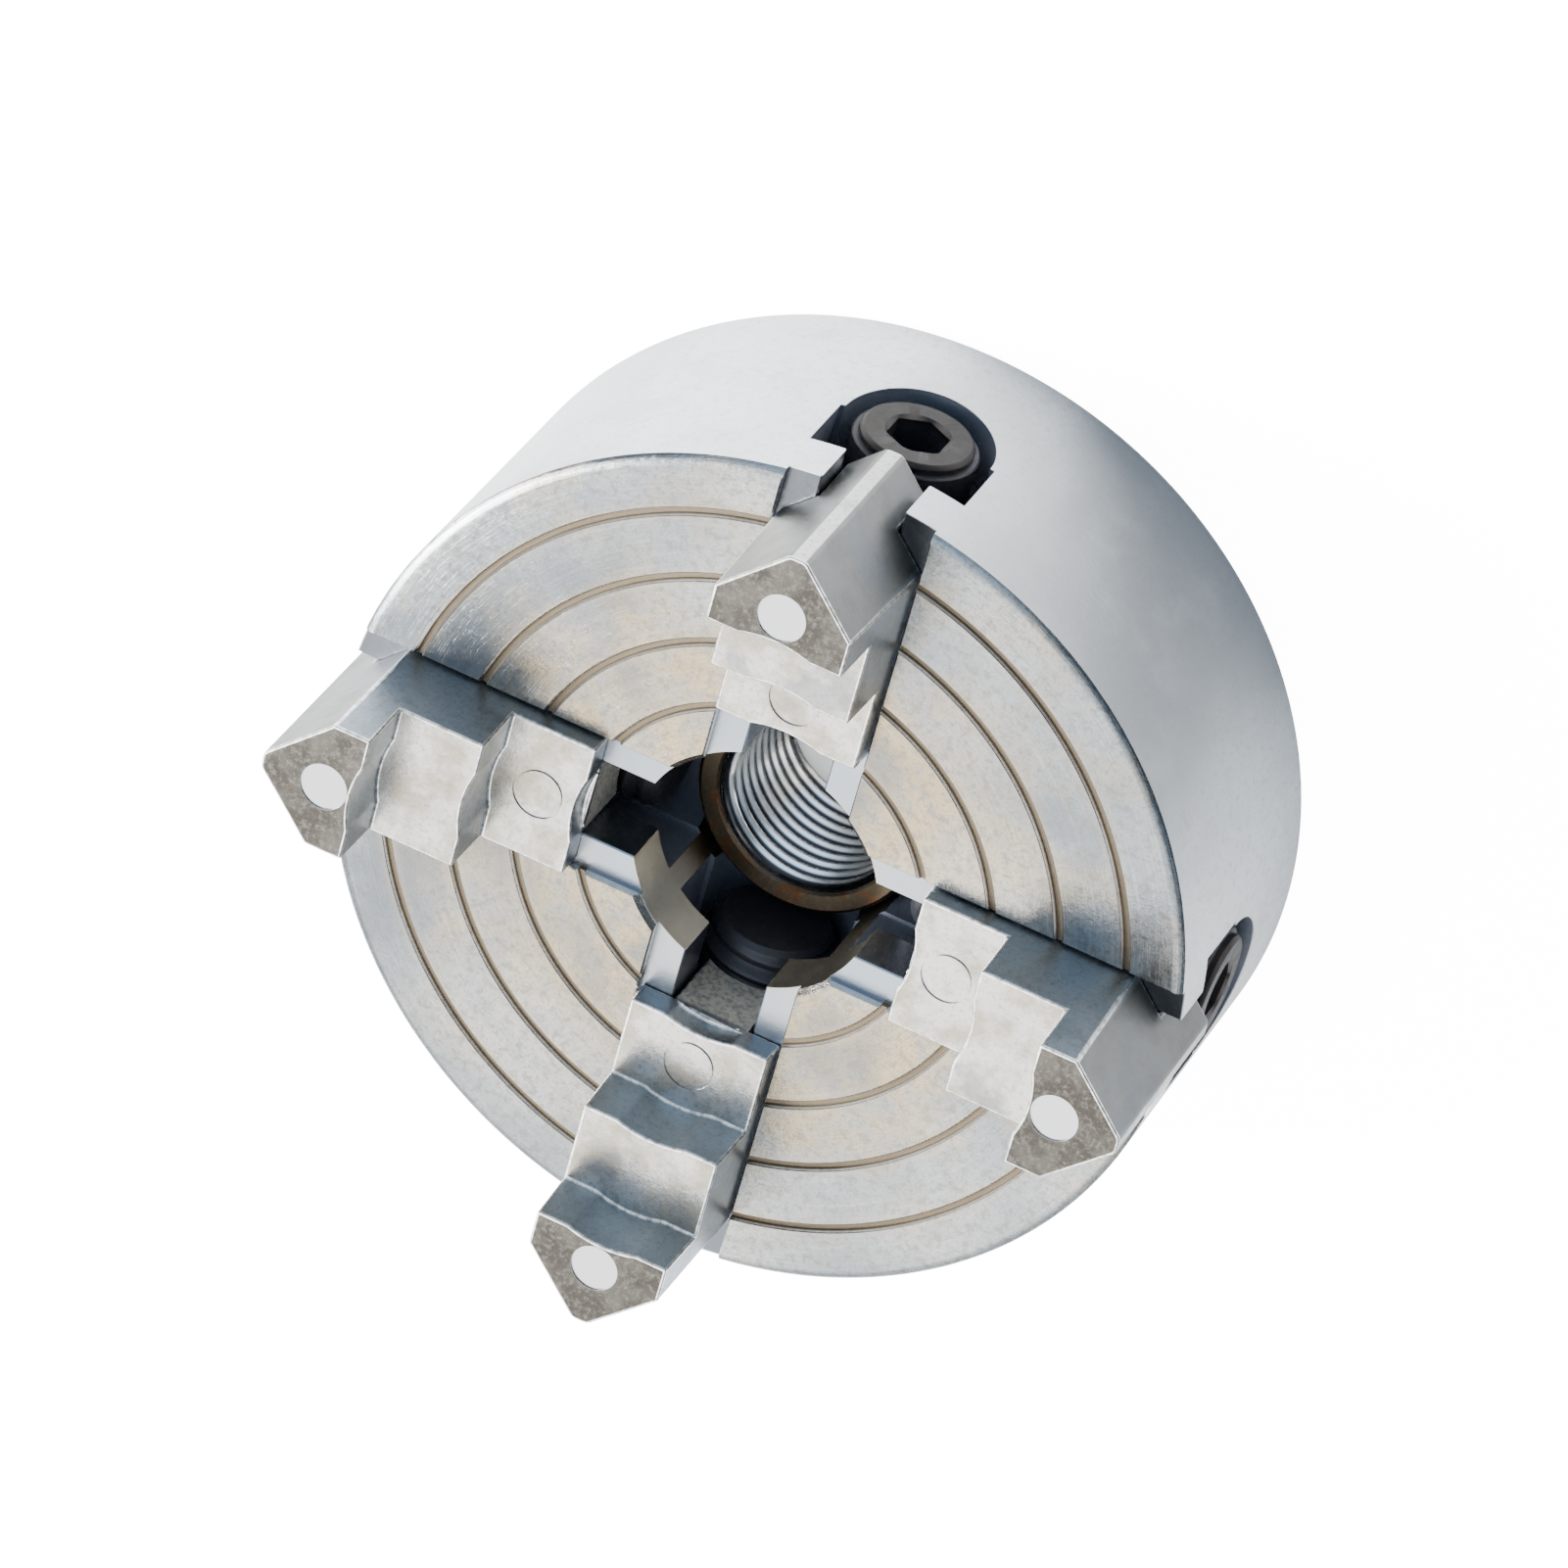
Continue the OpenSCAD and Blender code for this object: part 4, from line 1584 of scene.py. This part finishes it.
@dataclass
class SpindleHub:
    """The flanged steel hub with the right-hand spindle thread in its bore."""

    plate_thickness: float
    flange_top: float
    flange_radius: float = 12.0 * MM
    radius: float = 8.7 * MM
    crest: float = 6.33 * MM
    root: float = 7.0 * MM
    pitch: float = 1.25 * MM
    edge: float = 0.3 * MM
    mouth: float = 0.25 * MM
    flange_edge: float = 0.2 * MM
    back_edge: float = 0.15 * MM
    pin_radius: float = 0.9 * MM
    pin_top: float = 3.8 * MM
    pin_quarters: tuple[float, float] = (0.5, 2.5)
    segments: int = 144

    def build(self) -> bpy.types.Object:
        """Makes the hub.

        Returns:
            The finished piece.
        """
        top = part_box("spindle_hub")[1].z
        finish = HubSteel("spindle_steel", self.root / MM, self.radius / MM, top / MM)
        mouth = self.mouth
        sleeve = Thread(self.segments).sleeve(
            self.root, self.crest, self.pitch, mouth, top - 2 * mouth, 1, finish
        )
        section = [
            Ring(self.root, top - mouth),
            Ring(self.root + mouth, top),
            Ring(self.radius - self.edge, top),
            Ring(self.radius, top - self.edge),
            Ring(self.radius, self.flange_top),
            Ring(self.flange_radius - self.flange_edge, self.flange_top),
            Ring(self.flange_radius, self.flange_top - self.flange_edge),
            Ring(self.flange_radius, self.plate_thickness),
            Ring(self.radius, self.plate_thickness),
            Ring(self.radius, self.back_edge),
            Ring(self.radius - self.back_edge, 0.0),
            Ring(self.root + mouth, 0.0),
            Ring(self.root, mouth),
        ]
        shape = join_shapes(sleeve, turned(section, self.segments, closed=False))
        piece = object_from("threaded_hub", shape)
        pins = []
        for quarter in self.pin_quarters:
            pin = prism(circle((self.radius, 0.0), self.pin_radius), -PAST, self.pin_top)
            pin.transform(Matrix.Rotation(math.pi / 2 * quarter, 4, "Z"))
            pins.append(object_from("pin_cutter", pin))
        combine(piece, pins, "DIFFERENCE")
        return dress(piece, [finish], "body", "hub_steel", "spindle_hub")


# ---------------------------------------------------------------------------------------------
# The studio
# ---------------------------------------------------------------------------------------------


@dataclass
class Studio:
    """Pale floor, soft lights and the camera."""

    azimuth: float = -110.36
    elevation: float = 54.10
    roll: float = 139.11
    distance: float = 674.85 * MM
    aim: Vector = field(default_factory=lambda: Vector((2.57, 0.0, 12.3)) * MM)
    lens: float = 217.03
    ceiling: Point2 = (80.0, 56.0)
    window: Point2 = (-75.0, 54.0)
    lit: Colour = (1.0, 0.985, 0.955, 1.0)
    dim: Colour = (0.60, 0.78, 1.0, 1.0)
    room_light: float = 0.22
    ceiling_light: float = 3.0
    window_light: float = 1.8
    floor_half: float = 3.0
    floor_thickness: float = 0.01
    lamp_distance: float = 1.0

    def floor(self) -> None:
        """Lays the floor that the chuck stands on."""
        half = self.floor_half
        corners = [(-half, -half), (half, -half), (half, half), (-half, half)]
        flat = prism(corners, -self.floor_thickness, 0.0)
        piece = object_from("floor", flat)
        piece.data.materials.append(PaleFloor("pale_floor").material())

    def lamp(self, name: str, azimuth: float, elevation: float, size: float, power: float) -> None:
        """Hangs one soft light, aimed at the chuck.

        Args:
            name: the light's name.
            azimuth: its direction from +X, in degrees.
            elevation: its height over the floor, in degrees.
            size: its width.
            power: its power in watts.
        """
        light = bpy.data.lights.new(name, "AREA")
        light.shape = "DISK"
        light.size = size
        light.energy = power
        holder = bpy.data.objects.new(name, light)
        bpy.context.scene.collection.objects.link(holder)
        away = self.direction(azimuth, elevation)
        holder.location = away * self.lamp_distance
        holder.rotation_euler = away.to_track_quat("Z", "Y").to_euler()

    def lights(self) -> None:
        """Sets the world's light and the lamps."""
        world = bpy.data.worlds.new("soft_room")
        bpy.context.scene.world = world
        world.use_nodes = True
        graph = Graph(world.node_tree)
        back = world.node_tree.nodes["Background"]
        source = graph.node("ShaderNodeTexCoord").outputs["Generated"]
        towards = [
            graph.signal(
                "ShaderNodeVectorMath",
                {"operation": "DOT_PRODUCT"},
                {0: source, 1: self.direction(*place)},
                output="Value",
            )
            for place in (self.ceiling, self.window)
        ]
        lit, glow = towards[0].rise(0.45, 0.94), towards[1].rise(0.80, 0.97)
        graph.feed(back.inputs["Color"], graph.mix(lit, self.dim, self.lit))
        strength = self.room_light + lit * self.ceiling_light + glow * self.window_light
        graph.feed(back.inputs["Strength"], strength)
        self.lamp("over_lamp", 78, 58, 0.8, 3.0)
        self.lamp("key_lamp", 12, 36, 0.5, 42.0)

    @staticmethod
    def direction(azimuth: float, elevation: float) -> Vector:
        """The unit vector to an azimuth and elevation.

        Args:
            azimuth: degrees from +X towards +Y.
            elevation: degrees over the floor.

        Returns:
            The vector.
        """
        turn, lift = math.radians(azimuth), math.radians(elevation)
        flat = math.cos(lift)
        return Vector((flat * math.cos(turn), flat * math.sin(turn), math.sin(lift)))

    def camera(self) -> None:
        """Places the camera and makes it the scene's."""
        data = bpy.data.cameras.new("view")
        data.lens = self.lens
        data.sensor_width = 36.0
        data.clip_start = 0.05
        data.clip_end = 20.0
        data.dof.use_dof = False
        holder = bpy.data.objects.new("view", data)
        bpy.context.scene.collection.objects.link(holder)
        towards = self.direction(self.azimuth, self.elevation)
        holder.location = self.aim + towards * self.distance
        right = Vector((0, 0, 1)).cross(towards).normalized()
        level = towards.cross(right)
        turn = math.radians(self.roll)
        up = level * math.cos(turn) + right * math.sin(turn)
        side = up.cross(towards)
        basis = Matrix((side, up, towards)).transposed()
        holder.rotation_euler = basis.to_euler()
        bpy.context.scene.camera = holder

    def build(self) -> None:
        """Sets up the whole studio."""
        self.camera()
        self.lights()
        self.floor()


def main() -> None:
    """Builds the chuck and its studio."""
    logging.basicConfig(level=logging.INFO, format="%(name)s: %(message)s")
    Studio().build()
    slots = Slots()
    plate_low, plate_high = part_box("back_plate")
    fork_low, fork_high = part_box("screw_fork_1")
    screw_low, screw_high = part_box("jaw_screw_1")
    axis_height = (screw_low.z + screw_high.z) / 2
    flange_top = plate_high.z + FLANGE_THICKNESS
    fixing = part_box("plate_screw_1")
    fixing_circle = ((fixing[0] + fixing[1]) / 2).to_2d().length
    body = ChuckBody(
        slots=slots,
        axis_height=axis_height,
        plate_radius=plate_high.x,
        plate_thickness=plate_high.z,
        fork_low=fork_low,
        fork_high=fork_high,
        fixing_circle=fixing_circle,
        hub_pocket=SpindleHub.flange_radius + ChuckBody.gap,
        flange_top=flange_top + ChuckBody.gap,
    )
    body.build()
    for station in Station:
        Jaw(station, slots, body.height, axis_height, SCREW_PITCH).build()
        JawScrew(
            station, axis_height, SCREW_PITCH, screw_low.x, screw_high.x, fork_low.x, fork_high.x
        ).build()
    SpindleHub(plate_high.z, flange_top).build()
    kept = {
        "hub_pin": BlackOxide("ground_pin", black=GROUND_STEEL),
        "plate_screw": BlackOxide("oxide_fixing", black=FIXING_BLACK),
    }
    plate = BlackOxide("oxide_steel")
    for name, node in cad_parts.items():
        if not node.hide_render:
            finish = kept.get(name.rsplit("_", 1)[0], plate)
            node.data.materials.clear()
            node.data.materials.append(finish.material())
            LOG.info("%s: the frame's own shape, in %s", name, finish.name)


if __name__ == "__main__":
    main()
